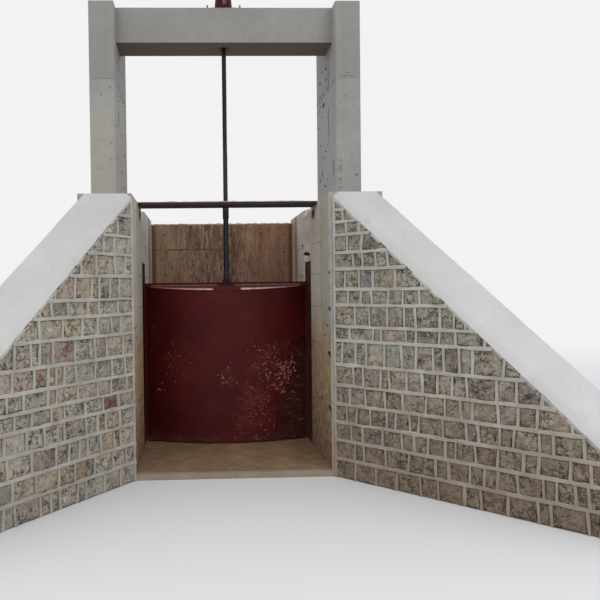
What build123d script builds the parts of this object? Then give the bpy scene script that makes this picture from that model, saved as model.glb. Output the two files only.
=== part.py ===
from build123d import *
import math
import os

# Sizes are in millimetres. X runs across the channel, Y along it and away from the open front, Z up.
# The origin is on the ground, on the channel's centreline, in the middle of the guide slots.

# Channel and its two side walls
channel_width = 2000.0
side_wall_top = 2890.0
side_wall_front_y = -1380.0
side_wall_back_y = 1410.0
floor_thickness = 60.0

# Slots in the side walls, which hold the guides and let the leaf rise
slot_depth = 120.0
slot_front_y = -240.0
slot_back_y = 190.0

# Splayed wing walls with a sloped coping, level across the channel: the two were not built quite alike
wing_slope = 42.0
wing_toe_height = 60.0
left_wing_splay = 35.5
left_wing_thickness = 385.0
left_wing_setback = 0.0
right_wing_splay = 43.5
right_wing_thickness = 320.0
right_wing_setback = 35.0
coping_thickness = 36.0
coping_overhang = 6.0

# Raised mortar in the level joints between the courses of rubble, and the height of each joint
joint_height = 28.0
joint_relief = 14.0
left_joints = (190, 380, 580, 769, 921, 1079, 1272, 1493, 1684, 1835, 2057, 2269, 2450, 2652)
right_joints = (190, 380, 562, 747, 938, 1145, 1388, 1530, 1744, 1901, 2104, 2269, 2448, 2577, 2700)

# Columns, flush with the outer faces of the side walls, and the beam that carries the hoist
column_setback = 255.0
column_width = 280.0
column_front_y = -530.0
column_depth = 1190.0
beam_underside = 4775.0
beam_height = 400.0
beam_depth = 440.0
beam_hole_diameter = 130.0

# Walkway plank let into both side walls
plank_front_y = -665.0
plank_width = 315.0
plank_thickness = 30.0
plank_bearing = 90.0

# Wall across the channel behind the gate, open below
breast_wall_thickness = 300.0
breast_wall_lower_edge = 1900.0
breast_wall_drop = 70.0

# Cast iron guides, one profile for both sides
guide_top = 2240.0
guide_wall = 30.0
guide_slot_gap = 10.0
groove_depth = 75.0
groove_width = 110.0

# Clearances of the leaf
seat_gap = 0.3
side_clearance = 5.0
arch_end_clearance = 15.0

# Leaf: an arched skin between two machined edge flanges, ribbed behind
leaf_top = 2000.0
leaf_rise = 262.0
skin_thickness = 25.0
edge_flange_reach = 75.0
edge_flange_thickness = 45.0
facing_thickness = 8.0
facing_width = 50.0
bottom_seal_height = 14.0
rib_thickness = 22.0
rib_count = 4
rib_back_setback = 14.0
rib_flange_height = 80.0
rib_flange_thickness = 20.0
upright_rib_count = 3
top_cap_thickness = 22.0
top_cap_fall = 55.0
top_cap_lip = 8.0
top_rail_height = 30.0
top_rail_thickness = 26.0

# Lifting lug on the crown of the leaf, and its pin
lug_base_half_width = 165.0
lug_base_height = 24.0
lug_base_depth = 72.0
lug_shoulder_half_width = 74.0
lug_shoulder_height = 70.0
lug_head_radius = 55.0
lug_pin_height = 95.0
lug_cheek_thickness = 25.0
pin_diameter = 40.0
pin_head_diameter = 62.0
pin_head_thickness = 10.0
pin_clearance = 0.1

# Screw stem in two lengths, joined by a sleeve
stem_lower_diameter = 62.0
stem_upper_diameter = 54.0
stem_eye_radius = 40.0
stem_eye_thickness = 50.0
stem_eye_taper = 150.0
stem_eye_clearance = 2.0
stem_joint_height = 2830.0
stem_sleeve_diameter = 74.0
stem_sleeve_length = 150.0
stem_above_hoist = 340.0

# Wedges that press the leaf onto its seat: the lower ones stand out less, so they pass the upper seats
wedge_length = 120.0
wedge_width = 44.0
wedge_taper = 8.0
wedge_heights = (420.0, 1120.0, 1800.0)
wedge_lowest = 15.0
wedge_step = 14.0

# Screw hoist on the beam
hoist_plate_length = 460.0
hoist_plate_thickness = 25.0
hoist_plate_edge = 90.0
pedestal_foot_radius = 150.0
pedestal_foot_inset = 15.0
pedestal_foot_thickness = 22.0
pedestal_waist_radius = 88.0
pedestal_height = 240.0
gearbox_radius = 158.0
gearbox_height = 130.0
gearbox_rim = 14.0
cover_radius = 84.0
cover_height = 70.0
nut_radius = 42.0
stem_passage_diameter = 66.0
nut_running_gap = 0.3
input_boss_radius = 42.0
input_boss_reach = 215.0
input_shaft_diameter = 32.0
input_shaft_end = 10.0
crank_throw = 300.0
crank_hub_gap = 10.0
crank_hub_length = 40.0
crank_hub_radius = 29.0
crank_arm_thickness = 20.0
crank_arm_width = 44.0
crank_grip_diameter = 34.0
crank_grip_length = 140.0

# How far a cutting shape runs past the face that it cuts, and a cast part into the one that it joins
runout = 1.0

# Values worked out from the sizes above
half_channel = channel_width / 2
left_wing = (left_wing_splay, left_wing_thickness, left_wing_setback)
right_wing = (right_wing_splay, right_wing_thickness, right_wing_setback)
column_inner_x = half_channel + column_setback
column_outer_x = column_inner_x + column_width
beam_top = beam_underside + beam_height
slot_bottom_x = half_channel + slot_depth
groove_bottom_x = half_channel + groove_depth
seat_y = slot_back_y - guide_slot_gap - guide_wall
groove_front_y = seat_y - groove_width
sill_top = floor_thickness
flange_back_y = seat_y - seat_gap - facing_thickness
flange_front_y = flange_back_y - edge_flange_thickness
flange_inner_x = half_channel - edge_flange_reach
flange_outer_x = groove_bottom_x - side_clearance
crown_y = flange_front_y - leaf_rise
arch_half_span = half_channel - arch_end_clearance
arch_radius = (arch_half_span**2 + leaf_rise**2) / (2 * leaf_rise)
arch_centre_y = crown_y + arch_radius
leaf_bottom = sill_top + seat_gap + bottom_seal_height
rib_back_y = flange_back_y - rib_back_setback
upright_rib_spacing = 2 * flange_inner_x / (upright_rib_count + 1)
cap_back_top = leaf_top - top_rail_height
cap_fall_per_mm = top_cap_fall / (flange_back_y - crown_y)
crown_top = cap_back_top - top_cap_fall
crown_under = crown_top - top_cap_thickness
lug_front_y = crown_y - top_cap_lip
lug_gap = stem_eye_thickness + 2 * stem_eye_clearance
lug_rear_y = lug_front_y + lug_cheek_thickness + lug_gap
lug_back_y = lug_rear_y + lug_cheek_thickness
lug_pin_z = crown_under + lug_pin_height
stem_y = lug_front_y + lug_cheek_thickness + lug_gap / 2
plate_half_depth = beam_depth / 2 - hoist_plate_edge
plate_top = beam_top + hoist_plate_thickness
gearbox_bottom = plate_top + pedestal_height
gearbox_top = gearbox_bottom + gearbox_height
nut_top = gearbox_top + cover_height + gearbox_rim
stem_top = nut_top + stem_above_hoist
input_z = gearbox_bottom + gearbox_height / 2
input_inner_y = stem_y - gearbox_radius / 2
boss_end_y = stem_y - input_boss_reach
crank_hub_back_y = boss_end_y - crank_hub_gap
crank_front_y = crank_hub_back_y - crank_hub_length


def block(x_low, x_high, y_low, y_high, z_low, z_high):
    size = (x_high - x_low, y_high - y_low, z_high - z_low)
    return Pos(x_low, y_low, z_low) * Box(*size, align=(Align.MIN, Align.MIN, Align.MIN))


def plan_prism(points, z_low, z_high):
    outline = make_face(Polyline(*points, close=True))
    return Pos(0, 0, z_low) * extrude(outline, amount=z_high - z_low, dir=(0, 0, 1))


def side_prism(points, x_low, x_high):
    # points are (y, z) pairs
    outline = make_face(Polyline(*[(0, y, z) for y, z in points], close=True))
    return Pos(x_low, 0, 0) * extrude(outline, amount=x_high - x_low, dir=(1, 0, 0))


def front_prism(outline, y_low, y_high):
    # outline is a face drawn in the XZ plane
    return Pos(0, y_low, 0) * extrude(outline, amount=y_high - y_low, dir=(0, 1, 0))


def upright_cylinder(z_low, z_high, radius):
    # Round and upright, on the stem's axis
    return Pos(0, stem_y, (z_low + z_high) / 2) * Cylinder(radius, z_high - z_low)


def lengthwise_cylinder(z, y_low, y_high, radius):
    # Round and level, along the channel above its centreline
    place = Pos(0, (y_low + y_high) / 2, z) * Rot(90, 0, 0)
    return place * Cylinder(radius, y_high - y_low)


def other_side(shape):
    return mirror(shape, about=Plane.YZ)


def save(name, *shapes):
    shape = shapes[0] if len(shapes) == 1 else Compound(children=list(shapes))
    export_step(shape, f"parts/{name}.step")


def save_both(name, *shapes):
    save(f"right_{name}", *shapes)
    save(f"left_{name}", *[other_side(shape) for shape in shapes])


# Concrete


def plank():
    half_length = half_channel + plank_bearing
    back_y = plank_front_y + plank_width
    under = side_wall_top - plank_thickness
    return block(-half_length, half_length, plank_front_y, back_y, under, side_wall_top)


def abutment():
    wall = block(half_channel, column_outer_x, side_wall_front_y, side_wall_back_y, 0, side_wall_top)
    slot = block(half_channel, slot_bottom_x, slot_front_y, slot_back_y, 0, side_wall_top)
    return wall - slot - plank()


def column():
    back_y = column_front_y + column_depth
    return block(column_inner_x, column_outer_x, column_front_y, back_y, side_wall_top, beam_top)


def top_beam():
    front_y = stem_y - beam_depth / 2
    beam = block(-column_inner_x, column_inner_x, front_y, front_y + beam_depth, beam_underside, beam_top)
    return beam - upright_cylinder(beam_underside, beam_top, beam_hole_diameter / 2)


def breast_wall():
    front_y = side_wall_back_y - breast_wall_thickness
    top = side_wall_top - breast_wall_drop
    return block(-half_channel, half_channel, front_y, side_wall_back_y, breast_wall_lower_edge, top)


def frame_sill():
    return block(-groove_bottom_x, groove_bottom_x, groove_front_y, seat_y, 0, sill_top)


def channel_floor():
    floor = block(-half_channel, half_channel, side_wall_front_y, side_wall_back_y, 0, floor_thickness)
    return floor - frame_sill()


# Wing walls


def wing_fall(splay):
    # Drop of the wing's top for each millimetre along the channel
    return math.tan(math.radians(wing_slope)) / math.cos(math.radians(splay))


def coping_drop(splay):
    # Height of the coping's edge, measured upright
    return coping_thickness * math.hypot(1, wing_fall(splay))


def wing_strip(splay, setback, inner, outer, profile):
    # A wall that leaves the channel at the splay angle, cut level with the side wall's front end
    angle = math.radians(splay)
    length = (side_wall_top - wing_toe_height - coping_drop(splay)) / wing_fall(splay)
    head_x = [half_channel + setback + offset / math.cos(angle) for offset in (inner, outer)]
    toe_y = side_wall_front_y - length
    toe_x = [x + length * math.tan(angle) for x in head_x]
    plan = [
        (head_x[0], side_wall_front_y),
        (toe_x[0], toe_y),
        (toe_x[1], toe_y),
        (head_x[1], side_wall_front_y),
    ]
    toe_top = wing_toe_height + coping_drop(splay)
    side = [(side_wall_front_y, z) for z in profile(side_wall_top)]
    side += [(toe_y, z) for z in reversed(profile(toe_top))]
    strip = plan_prism(plan, 0, side_wall_top)
    return strip & side_prism(side, 0, toe_x[1] + runout)


def wing_wall(splay, thickness, setback, joints):
    # The level joints run round both long faces, so each is one band of a slightly wider wall
    def profile(top):
        return 0, top - coping_drop(splay)

    wall = wing_strip(splay, setback, 0, thickness, profile)
    wider = wing_strip(splay, setback, -joint_relief, thickness + joint_relief, profile)
    box = wider.bounding_box()
    for z in joints:
        low, high = z - joint_height / 2, z + joint_height / 2
        wall += wider & block(box.min.X, box.max.X, box.min.Y, box.max.Y, low, high)
    return wall


def wing_coping(splay, thickness, setback):
    inner, outer = -coping_overhang, thickness + coping_overhang
    return wing_strip(splay, setback, inner, outer, lambda top: (top - coping_drop(splay), top))


# Guides


def guide_plan():
    outer_x = groove_bottom_x + guide_wall
    web_x = half_channel + guide_wall
    front_y = slot_front_y + guide_slot_gap
    return [
        (half_channel, front_y),
        (outer_x, front_y),
        (outer_x, front_y + guide_wall),
        (web_x, front_y + guide_wall),
        (web_x, groove_front_y - guide_wall),
        (outer_x, groove_front_y - guide_wall),
        (outer_x, seat_y + guide_wall),
        (half_channel, seat_y + guide_wall),
        (half_channel, seat_y),
        (groove_bottom_x, seat_y),
        (groove_bottom_x, groove_front_y),
        (half_channel, groove_front_y),
    ]


def guide():
    return plan_prism(guide_plan(), 0, guide_top)


def guide_grout():
    fill = block(half_channel, slot_bottom_x, slot_front_y, slot_back_y, 0, guide_top)
    groove = block(half_channel, groove_bottom_x, groove_front_y, seat_y, 0, guide_top)
    return fill - groove - guide()


# Leaf


def arch_face(radius, back_y):
    # The region between an arc of the skin's family and a straight line across at back_y
    half = math.sqrt(radius**2 - (arch_centre_y - back_y) ** 2)
    left, right = (-half, back_y), (half, back_y)
    arc = ThreePointArc(left, (0, arch_centre_y - radius), right)
    return make_face([*arc.edges(), *Line(right, left).edges()])


def above_cap_plane(depth):
    # Everything above the plane that lies depth under the cap's top, as a prism across the leaf
    front_y, back_y = crown_y - leaf_rise, flange_back_y + leaf_rise
    high = leaf_top + leaf_rise

    def plane_z(y):
        return cap_back_top - (flange_back_y - y) * cap_fall_per_mm - depth

    points = [(front_y, plane_z(front_y)), (back_y, plane_z(back_y)), (back_y, high), (front_y, high)]
    return side_prism(points, -channel_width, channel_width)


def leaf_skin():
    height = leaf_top - leaf_bottom
    outer = extrude(arch_face(arch_radius, flange_front_y + runout), amount=height)
    inner = extrude(arch_face(arch_radius - skin_thickness, flange_back_y), amount=height)
    return Pos(0, 0, leaf_bottom) * (outer - inner)


def level_ribs():
    web = extrude(arch_face(arch_radius - skin_thickness / 2, rib_back_y), amount=rib_thickness)
    flange_low_y = rib_back_y - rib_flange_thickness
    flange = block(-flange_inner_x, flange_inner_x, flange_low_y, rib_back_y, 0, rib_flange_height)
    flange = Pos(0, 0, (rib_thickness - rib_flange_height) / 2) * flange
    bottom_flange = Pos(0, 0, (rib_flange_height - rib_thickness) / 2) * flange
    pitch = (crown_under - rib_thickness - leaf_bottom) / rib_count
    ribs = [Pos(0, 0, leaf_bottom) * (web + bottom_flange)]
    ribs += [Pos(0, 0, leaf_bottom + pitch * n) * (web + flange) for n in range(1, rib_count)]
    return ribs


def upright_ribs():
    height = leaf_top - leaf_bottom
    whole = extrude(arch_face(arch_radius - skin_thickness / 2, rib_back_y), amount=height)
    whole = Pos(0, 0, leaf_bottom) * whole
    ribs = []
    for n in range(upright_rib_count):
        low_x = (n + 1) * upright_rib_spacing - flange_inner_x - rib_thickness / 2
        strip = block(low_x, low_x + rib_thickness, crown_y, rib_back_y, leaf_bottom, leaf_top)
        ribs.append(strip & whole)
    return ribs


def edge_flange():
    return block(flange_inner_x, flange_outer_x, flange_front_y, flange_back_y, leaf_bottom, leaf_top)


def top_cap():
    blank = extrude(arch_face(arch_radius + top_cap_lip, flange_back_y), amount=leaf_top)
    blank &= block(-arch_half_span, arch_half_span, lug_front_y, flange_back_y, 0, leaf_top)
    return (blank & above_cap_plane(top_cap_thickness)) - above_cap_plane(0)


def top_rail():
    # An upstand along the back of the cap, over the whole width of the leaf
    front_y = flange_back_y - top_rail_thickness
    low_z = cap_back_top - top_cap_thickness
    return block(-flange_outer_x, flange_outer_x, front_y, flange_back_y, low_z, leaf_top)


def lug_seat():
    half = lug_base_half_width
    seat = block(-half, half, lug_front_y, lug_front_y + lug_cheek_thickness, 0, leaf_top)
    return seat & above_cap_plane(top_cap_thickness)


def leaf_casting():
    body = leaf_skin()
    for rib in [*level_ribs(), *upright_ribs()]:
        body += rib
    body += edge_flange()
    body += other_side(edge_flange())
    body -= above_cap_plane(top_cap_thickness / 2)
    body += top_cap()
    body += top_rail()
    return body - lug_seat()


def lug_faces():
    # The cheek's outline in three overlapping faces: base with sloped shoulders, neck and round head
    base_z = crown_under - top_cap_thickness
    shoulder_z = crown_under + lug_shoulder_height
    side = [
        (lug_base_half_width, base_z),
        (lug_base_half_width, crown_under + lug_base_height / 2),
        (lug_shoulder_half_width, shoulder_z),
    ]
    neck = [(lug_head_radius, shoulder_z), (lug_head_radius, lug_pin_z)]
    head = Pos(0, 0, lug_pin_z) * Rot(90, 0, 0) * Circle(lug_head_radius)
    faces = [head]
    for half in (side, neck):
        points = [*half, *[(-x, z) for x, z in reversed(half)]]
        faces.append(make_face(Polyline(*[(x, 0, z) for x, z in points], close=True)))
    return faces


def lug_cheek():
    head, base, neck = [front_prism(face, 0, lug_cheek_thickness) for face in lug_faces()]
    return base + neck + head


def lifting_lug():
    front = (Pos(0, lug_front_y, 0) * lug_cheek()) & above_cap_plane(top_cap_thickness)
    rear = (Pos(0, lug_rear_y, 0) * lug_cheek()) & above_cap_plane(0)
    half = lug_base_half_width
    base_top = crown_top + lug_base_height
    base_front_y = lug_front_y + lug_cheek_thickness
    base = block(-half, half, base_front_y, lug_back_y, base_top - lug_base_depth, base_top)
    base &= above_cap_plane(0)
    hole_radius = pin_diameter / 2 + pin_clearance
    hole = lengthwise_cylinder(lug_pin_z, lug_front_y - runout, lug_back_y + runout, hole_radius)
    return front + base + rear - hole


def lug_pin():
    front_y = lug_front_y - pin_head_thickness
    back_y = lug_back_y + pin_head_thickness
    pin = lengthwise_cylinder(lug_pin_z, front_y, back_y, pin_diameter / 2)
    pin += lengthwise_cylinder(lug_pin_z, front_y, lug_front_y, pin_head_diameter / 2)
    pin += lengthwise_cylinder(lug_pin_z, lug_back_y, back_y, pin_head_diameter / 2)
    return pin


# Stem


def stem_lower():
    front_y, back_y = stem_y - stem_eye_thickness / 2, stem_y + stem_eye_thickness / 2
    taper_top = lug_pin_z + stem_eye_taper
    eye = lengthwise_cylinder(lug_pin_z, front_y, back_y, stem_eye_radius)
    cone = Cone(stem_eye_radius, stem_lower_diameter / 2, stem_eye_taper)
    cone = Pos(0, stem_y, (lug_pin_z + taper_top) / 2) * cone
    flat = block(-stem_eye_radius, stem_eye_radius, front_y, back_y, lug_pin_z, taper_top)
    hole = lengthwise_cylinder(lug_pin_z, front_y, back_y, pin_diameter / 2 + pin_clearance)
    shank = upright_cylinder(taper_top, stem_joint_height, stem_lower_diameter / 2)
    return eye + (cone & flat) + shank - hole


def stem_upper():
    return upright_cylinder(stem_joint_height, stem_top, stem_upper_diameter / 2)


def stem_sleeve():
    half = stem_sleeve_length / 2
    low, high = stem_joint_height - half, stem_joint_height + half
    sleeve = upright_cylinder(low, high, stem_sleeve_diameter / 2)
    return sleeve - stem_lower() - stem_upper()


# Seals and wedges


def seal_facing():
    low_x = half_channel + side_clearance
    back_y = flange_back_y + facing_thickness
    return block(low_x, low_x + facing_width, flange_back_y, back_y, leaf_bottom, leaf_top)


def bottom_seal():
    half = half_channel - side_clearance
    return block(-half, half, flange_front_y, flange_back_y, sill_top + seat_gap, leaf_bottom)


def wedge_pairs():
    # For each pair, from the bottom up: its height and how far the leaf's wedge stands out at its top
    return [(z, wedge_lowest + wedge_step * n) for n, z in enumerate(wedge_heights)]


def wedge(face_y, tip_y, toe_y, z):
    # From its flat back at face_y to a slope that runs from toe_y, low, to tip_y, high
    low_x = half_channel + side_clearance
    low, high = z - wedge_length / 2, z + wedge_length / 2
    points = [(face_y, low), (face_y, high), (tip_y, high), (toe_y, low)]
    return side_prism(points, low_x, low_x + wedge_width)


def leaf_wedges():
    wedges = []
    for z, reach in wedge_pairs():
        tip_y = flange_front_y - reach
        wedges.append(wedge(flange_front_y, tip_y, tip_y + wedge_taper, z))
    return wedges


def guide_wedges():
    wedges = []
    for z, reach in wedge_pairs():
        tip_y = flange_front_y - reach - seat_gap
        wedges.append(wedge(groove_front_y, tip_y, tip_y + wedge_taper, z))
    return wedges


# Hoist


def stem_passage(z_low, z_high):
    return upright_cylinder(z_low, z_high, stem_passage_diameter / 2)


def hoist_plate():
    half = hoist_plate_length / 2
    front_y, back_y = stem_y - plate_half_depth, stem_y + plate_half_depth
    plate = block(-half, half, front_y, back_y, beam_top, plate_top)
    return plate - stem_passage(beam_top, plate_top)


def hoist_pedestal():
    neck = plate_top + pedestal_foot_thickness
    half = plate_half_depth - pedestal_foot_inset
    radius = pedestal_foot_radius
    foot = block(-radius, radius, stem_y - half, stem_y + half, plate_top, neck)
    cone = Cone(half - pedestal_foot_inset / 2, pedestal_waist_radius, gearbox_bottom - neck)
    cone = Pos(0, stem_y, (neck + gearbox_bottom) / 2) * cone
    return foot + cone - stem_passage(plate_top, gearbox_bottom)


def gearbox():
    drum = upright_cylinder(gearbox_bottom, gearbox_top, gearbox_radius - gearbox_rim)
    rim = upright_cylinder(gearbox_top - gearbox_rim, gearbox_top, gearbox_radius)
    boss = lengthwise_cylinder(input_z, boss_end_y, stem_y, input_boss_radius)
    bore = lengthwise_cylinder(input_z, boss_end_y, input_inner_y, input_shaft_diameter / 2 + pin_clearance)
    return drum + rim + boss - stem_passage(gearbox_bottom, gearbox_top) - bore


def gearbox_cover():
    neck_top = gearbox_top + cover_height
    lid = upright_cylinder(gearbox_top, gearbox_top + gearbox_rim, gearbox_radius)
    neck = upright_cylinder(gearbox_top, neck_top, cover_radius)
    return lid + neck - upright_cylinder(gearbox_top, neck_top, nut_radius)


def lift_nut():
    nut = upright_cylinder(gearbox_top, nut_top, nut_radius)
    return nut - upright_cylinder(gearbox_top, nut_top, stem_upper_diameter / 2 + nut_running_gap)


def input_shaft():
    end_y = crank_front_y - input_shaft_end
    return lengthwise_cylinder(input_z, end_y, input_inner_y, input_shaft_diameter / 2)


def crank_arm():
    half = crank_arm_width / 2
    back_y = crank_front_y + crank_arm_thickness
    low_z = input_z - crank_throw
    arm = block(-half, half, crank_front_y, back_y, low_z, input_z)
    arm += lengthwise_cylinder(input_z, crank_front_y, crank_hub_back_y, crank_hub_radius)
    arm += lengthwise_cylinder(low_z, crank_front_y, back_y, half)
    return arm - input_shaft()


def crank_grip():
    front_y = crank_front_y - crank_grip_length
    return lengthwise_cylinder(input_z - crank_throw, front_y, crank_front_y, crank_grip_diameter / 2)


os.makedirs("parts", exist_ok=True)

save_both("abutment", abutment())
save("right_wing_wall", wing_wall(*right_wing, right_joints))
save("left_wing_wall", other_side(wing_wall(*left_wing, left_joints)))
save("right_wing_coping", wing_coping(*right_wing))
save("left_wing_coping", other_side(wing_coping(*left_wing)))
save_both("column", column())
save("top_beam", top_beam())
save("walkway_plank", plank())
save("breast_wall", breast_wall())
save("channel_floor", channel_floor())
save("frame_sill", frame_sill())
save_both("guide", guide())
save_both("guide_grout", guide_grout())
save_both("guide_wedges", *guide_wedges())

save("leaf_casting", leaf_casting())
save("lifting_lug", lifting_lug())
save("lug_pin", lug_pin())
save("stem_lower", stem_lower())
save("stem_sleeve", stem_sleeve())
save("stem_upper", stem_upper())
save_both("seal_facing", seal_facing())
save("bottom_seal", bottom_seal())
save_both("leaf_wedges", *leaf_wedges())

save("hoist_plate", hoist_plate())
save("hoist_pedestal", hoist_pedestal())
save("gearbox", gearbox())
save("gearbox_cover", gearbox_cover())
save("lift_nut", lift_nut())
save("input_shaft", input_shaft())
save("crank_arm", crank_arm())
save("crank_grip", crank_grip())
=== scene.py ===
import bmesh
import bpy
import math
import random
from functools import partial
from mathutils import Matrix, Vector, noise
from mathutils.bvhtree import BVHTree


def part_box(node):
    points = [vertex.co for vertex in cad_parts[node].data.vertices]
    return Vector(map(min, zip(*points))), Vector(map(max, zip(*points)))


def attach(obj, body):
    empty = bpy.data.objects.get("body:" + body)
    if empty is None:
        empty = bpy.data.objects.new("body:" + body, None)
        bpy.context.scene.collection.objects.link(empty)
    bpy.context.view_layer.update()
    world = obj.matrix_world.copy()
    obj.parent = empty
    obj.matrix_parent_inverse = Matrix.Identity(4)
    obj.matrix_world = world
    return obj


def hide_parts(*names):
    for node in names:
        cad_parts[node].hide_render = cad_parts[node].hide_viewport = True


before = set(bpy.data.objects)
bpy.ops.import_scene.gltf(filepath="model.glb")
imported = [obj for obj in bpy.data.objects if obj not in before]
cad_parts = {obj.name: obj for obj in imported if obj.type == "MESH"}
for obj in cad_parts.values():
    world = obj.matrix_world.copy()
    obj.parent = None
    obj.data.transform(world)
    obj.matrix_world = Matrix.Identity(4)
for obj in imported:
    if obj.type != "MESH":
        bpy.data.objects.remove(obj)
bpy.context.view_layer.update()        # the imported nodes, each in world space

print("frame loaded,", len(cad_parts), "nodes")


# Small helpers for colours and shader nodes


def paint(red, green, blue):
    # display values from 0 to 255, as the linear ones that a shader takes
    linear = []
    for value in (red, green, blue):
        share = value / 255
        linear.append(share / 12.92 if share <= 0.04045 else ((share + 0.055) / 1.055) ** 2.4)
    return (*linear, 1.0)


def feed(socket, value):
    # a socket takes another node's output or a plain value
    if isinstance(value, bpy.types.NodeSocket):
        socket.id_data.links.new(value, socket)
    else:
        socket.default_value = value


def addNode(beside, kind, values=None):
    # a new node in a tree, which is given itself or by one of its sockets
    node = beside.id_data.nodes.new(kind)
    for label, value in (values or {}).items():
        feed(node.inputs[label], value)
    return node


def stretch(coords, scale):
    return addNode(coords, "ShaderNodeMapping", {"Vector": coords, "Scale": scale}).outputs["Vector"]


def cloud(coords, scale, detail=4.0, roughness=0.55, distortion=0.0):
    values = {"Vector": coords, "Scale": scale, "Detail": detail, "Roughness": roughness}
    return addNode(coords, "ShaderNodeTexNoise", {**values, "Distortion": distortion}).outputs["Fac"]


def cells(coords, scale, output="Distance"):
    return addNode(coords, "ShaderNodeTexVoronoi", {"Vector": coords, "Scale": scale}).outputs[output]


def spread(value, fromLow, fromHigh, toLow=0.0, toHigh=1.0):
    values = {"Value": value, "From Min": fromLow, "From Max": fromHigh, "To Min": toLow, "To Max": toHigh}
    return addNode(value, "ShaderNodeMapRange", values).outputs["Result"]


def calc(operation, *values):
    beside = next(value for value in values if isinstance(value, bpy.types.NodeSocket))
    node = addNode(beside, "ShaderNodeMath")
    node.operation = operation
    for socket, value in zip(node.inputs, values):
        feed(socket, value)
    return node.outputs[0]


plus = partial(calc, "ADD")
minus = partial(calc, "SUBTRACT")
larger = partial(calc, "MAXIMUM")
above = partial(calc, "GREATER_THAN")
below = partial(calc, "LESS_THAN")


def times(first, *others):
    for other in others:
        first = calc("MULTIPLY", first, other)
    return first


def away(value, centre=0.0):
    # how far value is from centre, either way
    return calc("ABSOLUTE", minus(value, centre) if centre else value)


def mixed(amount, first, second):
    node = addNode(amount, "ShaderNodeMix")
    node.data_type = "RGBA"
    colourInputs = [socket for socket in node.inputs if socket.type == "RGBA"]
    for socket, value in zip((node.inputs[0], *colourInputs), (amount, first, second)):
        feed(socket, value)
    return next(socket for socket in node.outputs if socket.type == "RGBA")


def coat(colour, *layers):
    # lays each (amount, tone) over the colour
    for amount, tone in layers:
        colour = mixed(amount, colour, tone)
    return colour


def axes(vector):
    return list(addNode(vector, "ShaderNodeSeparateXYZ", {"Vector": vector}).outputs)


def facing(beside):
    # how far a surface looks right, back and up, each from -1 to 1
    return axes(addNode(beside, "ShaderNodeNewGeometry").outputs["Normal"])


def startMaterial(name, roughness, specular, metallic=0.0):
    material = bpy.data.materials.new(name)
    material.use_nodes = True
    shader = material.node_tree.nodes["Principled BSDF"]
    shader.inputs["Roughness"].default_value = roughness
    shader.inputs["Specular IOR Level"].default_value = specular
    shader.inputs["Metallic"].default_value = metallic
    return material, addNode(material.node_tree, "ShaderNodeTexCoord").outputs["Object"]


def dress(material, colour, bumps=(), roughness=None):
    # gives the material its colour, its bumps as (height, distance, strength), and its roughness if it varies
    shader = material.node_tree.nodes["Principled BSDF"]
    feed(shader.inputs["Base Color"], colour)
    normal = None
    for height, distance, strength in bumps:
        values = {"Height": height, "Distance": distance, "Strength": strength}
        if normal is not None:
            values["Normal"] = normal
        normal = addNode(height, "ShaderNodeBump", values).outputs["Normal"]
    if normal is not None:
        feed(shader.inputs["Normal"], normal)
    if roughness is not None:
        feed(shader.inputs["Roughness"], roughness)
    return material


# Concrete


concreteLooks = {
    "cleanLight": paint(176, 175, 171),
    "cleanDark": paint(157, 157, 154),
    "dampAndShade": paint(130, 129, 126),
    # the channel's tones are painted lighter than the clean concrete, as painted light against the shade
    # between its walls
    "channelLight": paint(222, 215, 203),
    "channelDark": paint(200, 192, 179),
    "panelWidth": 0.595,
    "pit": paint(66, 64, 60),
    "airHoles": ((9.0, 0.085), (15.0, 0.1)),
    "soffitShade": paint(113, 101, 90),
    "boardGreen": paint(178, 174, 150),
    "boardEdges": (-1.27, -0.87, -0.24),
    "boardSeams": (-1.27, -0.87, 0.42, 0.82),
    "endsFrom": 1.33,
    "front": paint(138, 137, 134),
    "warm": paint(166, 156, 138),
    "innerFacePaintedLight": paint(200, 201, 202),
    "mudLight": paint(196, 170, 130),
    "mudDark": paint(142, 116, 82),
    "mudTop": 1.68,
    "mudFull": 1.25,
    "silt": paint(118, 88, 66),
    "siltTop": 0.8,
    "splash": paint(76, 54, 39),
    "pourTop": 4.305,
    "channelHalf": 1.25,
    "guideBack": 0.19,
    "backBands": ((0.98, 1.3, paint(196, 160, 146), 0.5), (0.84, 0.98, paint(118, 88, 78), 0.7)),
}


def channelBoards(looks, x, y, broad, lengthwise):
    # boards of different tone on the faces of the channel, painted lighter as painted light against the shade
    # there
    boards = mixed(spread(broad, 0.36, 0.64), looks["channelDark"], looks["channelLight"])
    first, second, third = looks["boardEdges"]
    rightSide = above(x, 0.0)
    beyond = above(y, second)
    front = times(above(y, first), minus(1.0, beyond))
    rear = times(beyond, below(y, third))
    green = plus(times(rightSide, front), times(minus(1.0, rightSide), rear))
    boards = mixed(times(green, 0.6), boards, looks["boardGreen"])
    behind = above(y, looks["guideBack"])
    for start, end, tone, strength in looks["backBands"]:
        band = times(above(y, start), below(y, end), lengthwise, behind, strength)
        boards = mixed(band, boards, tone)
    return boards


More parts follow.
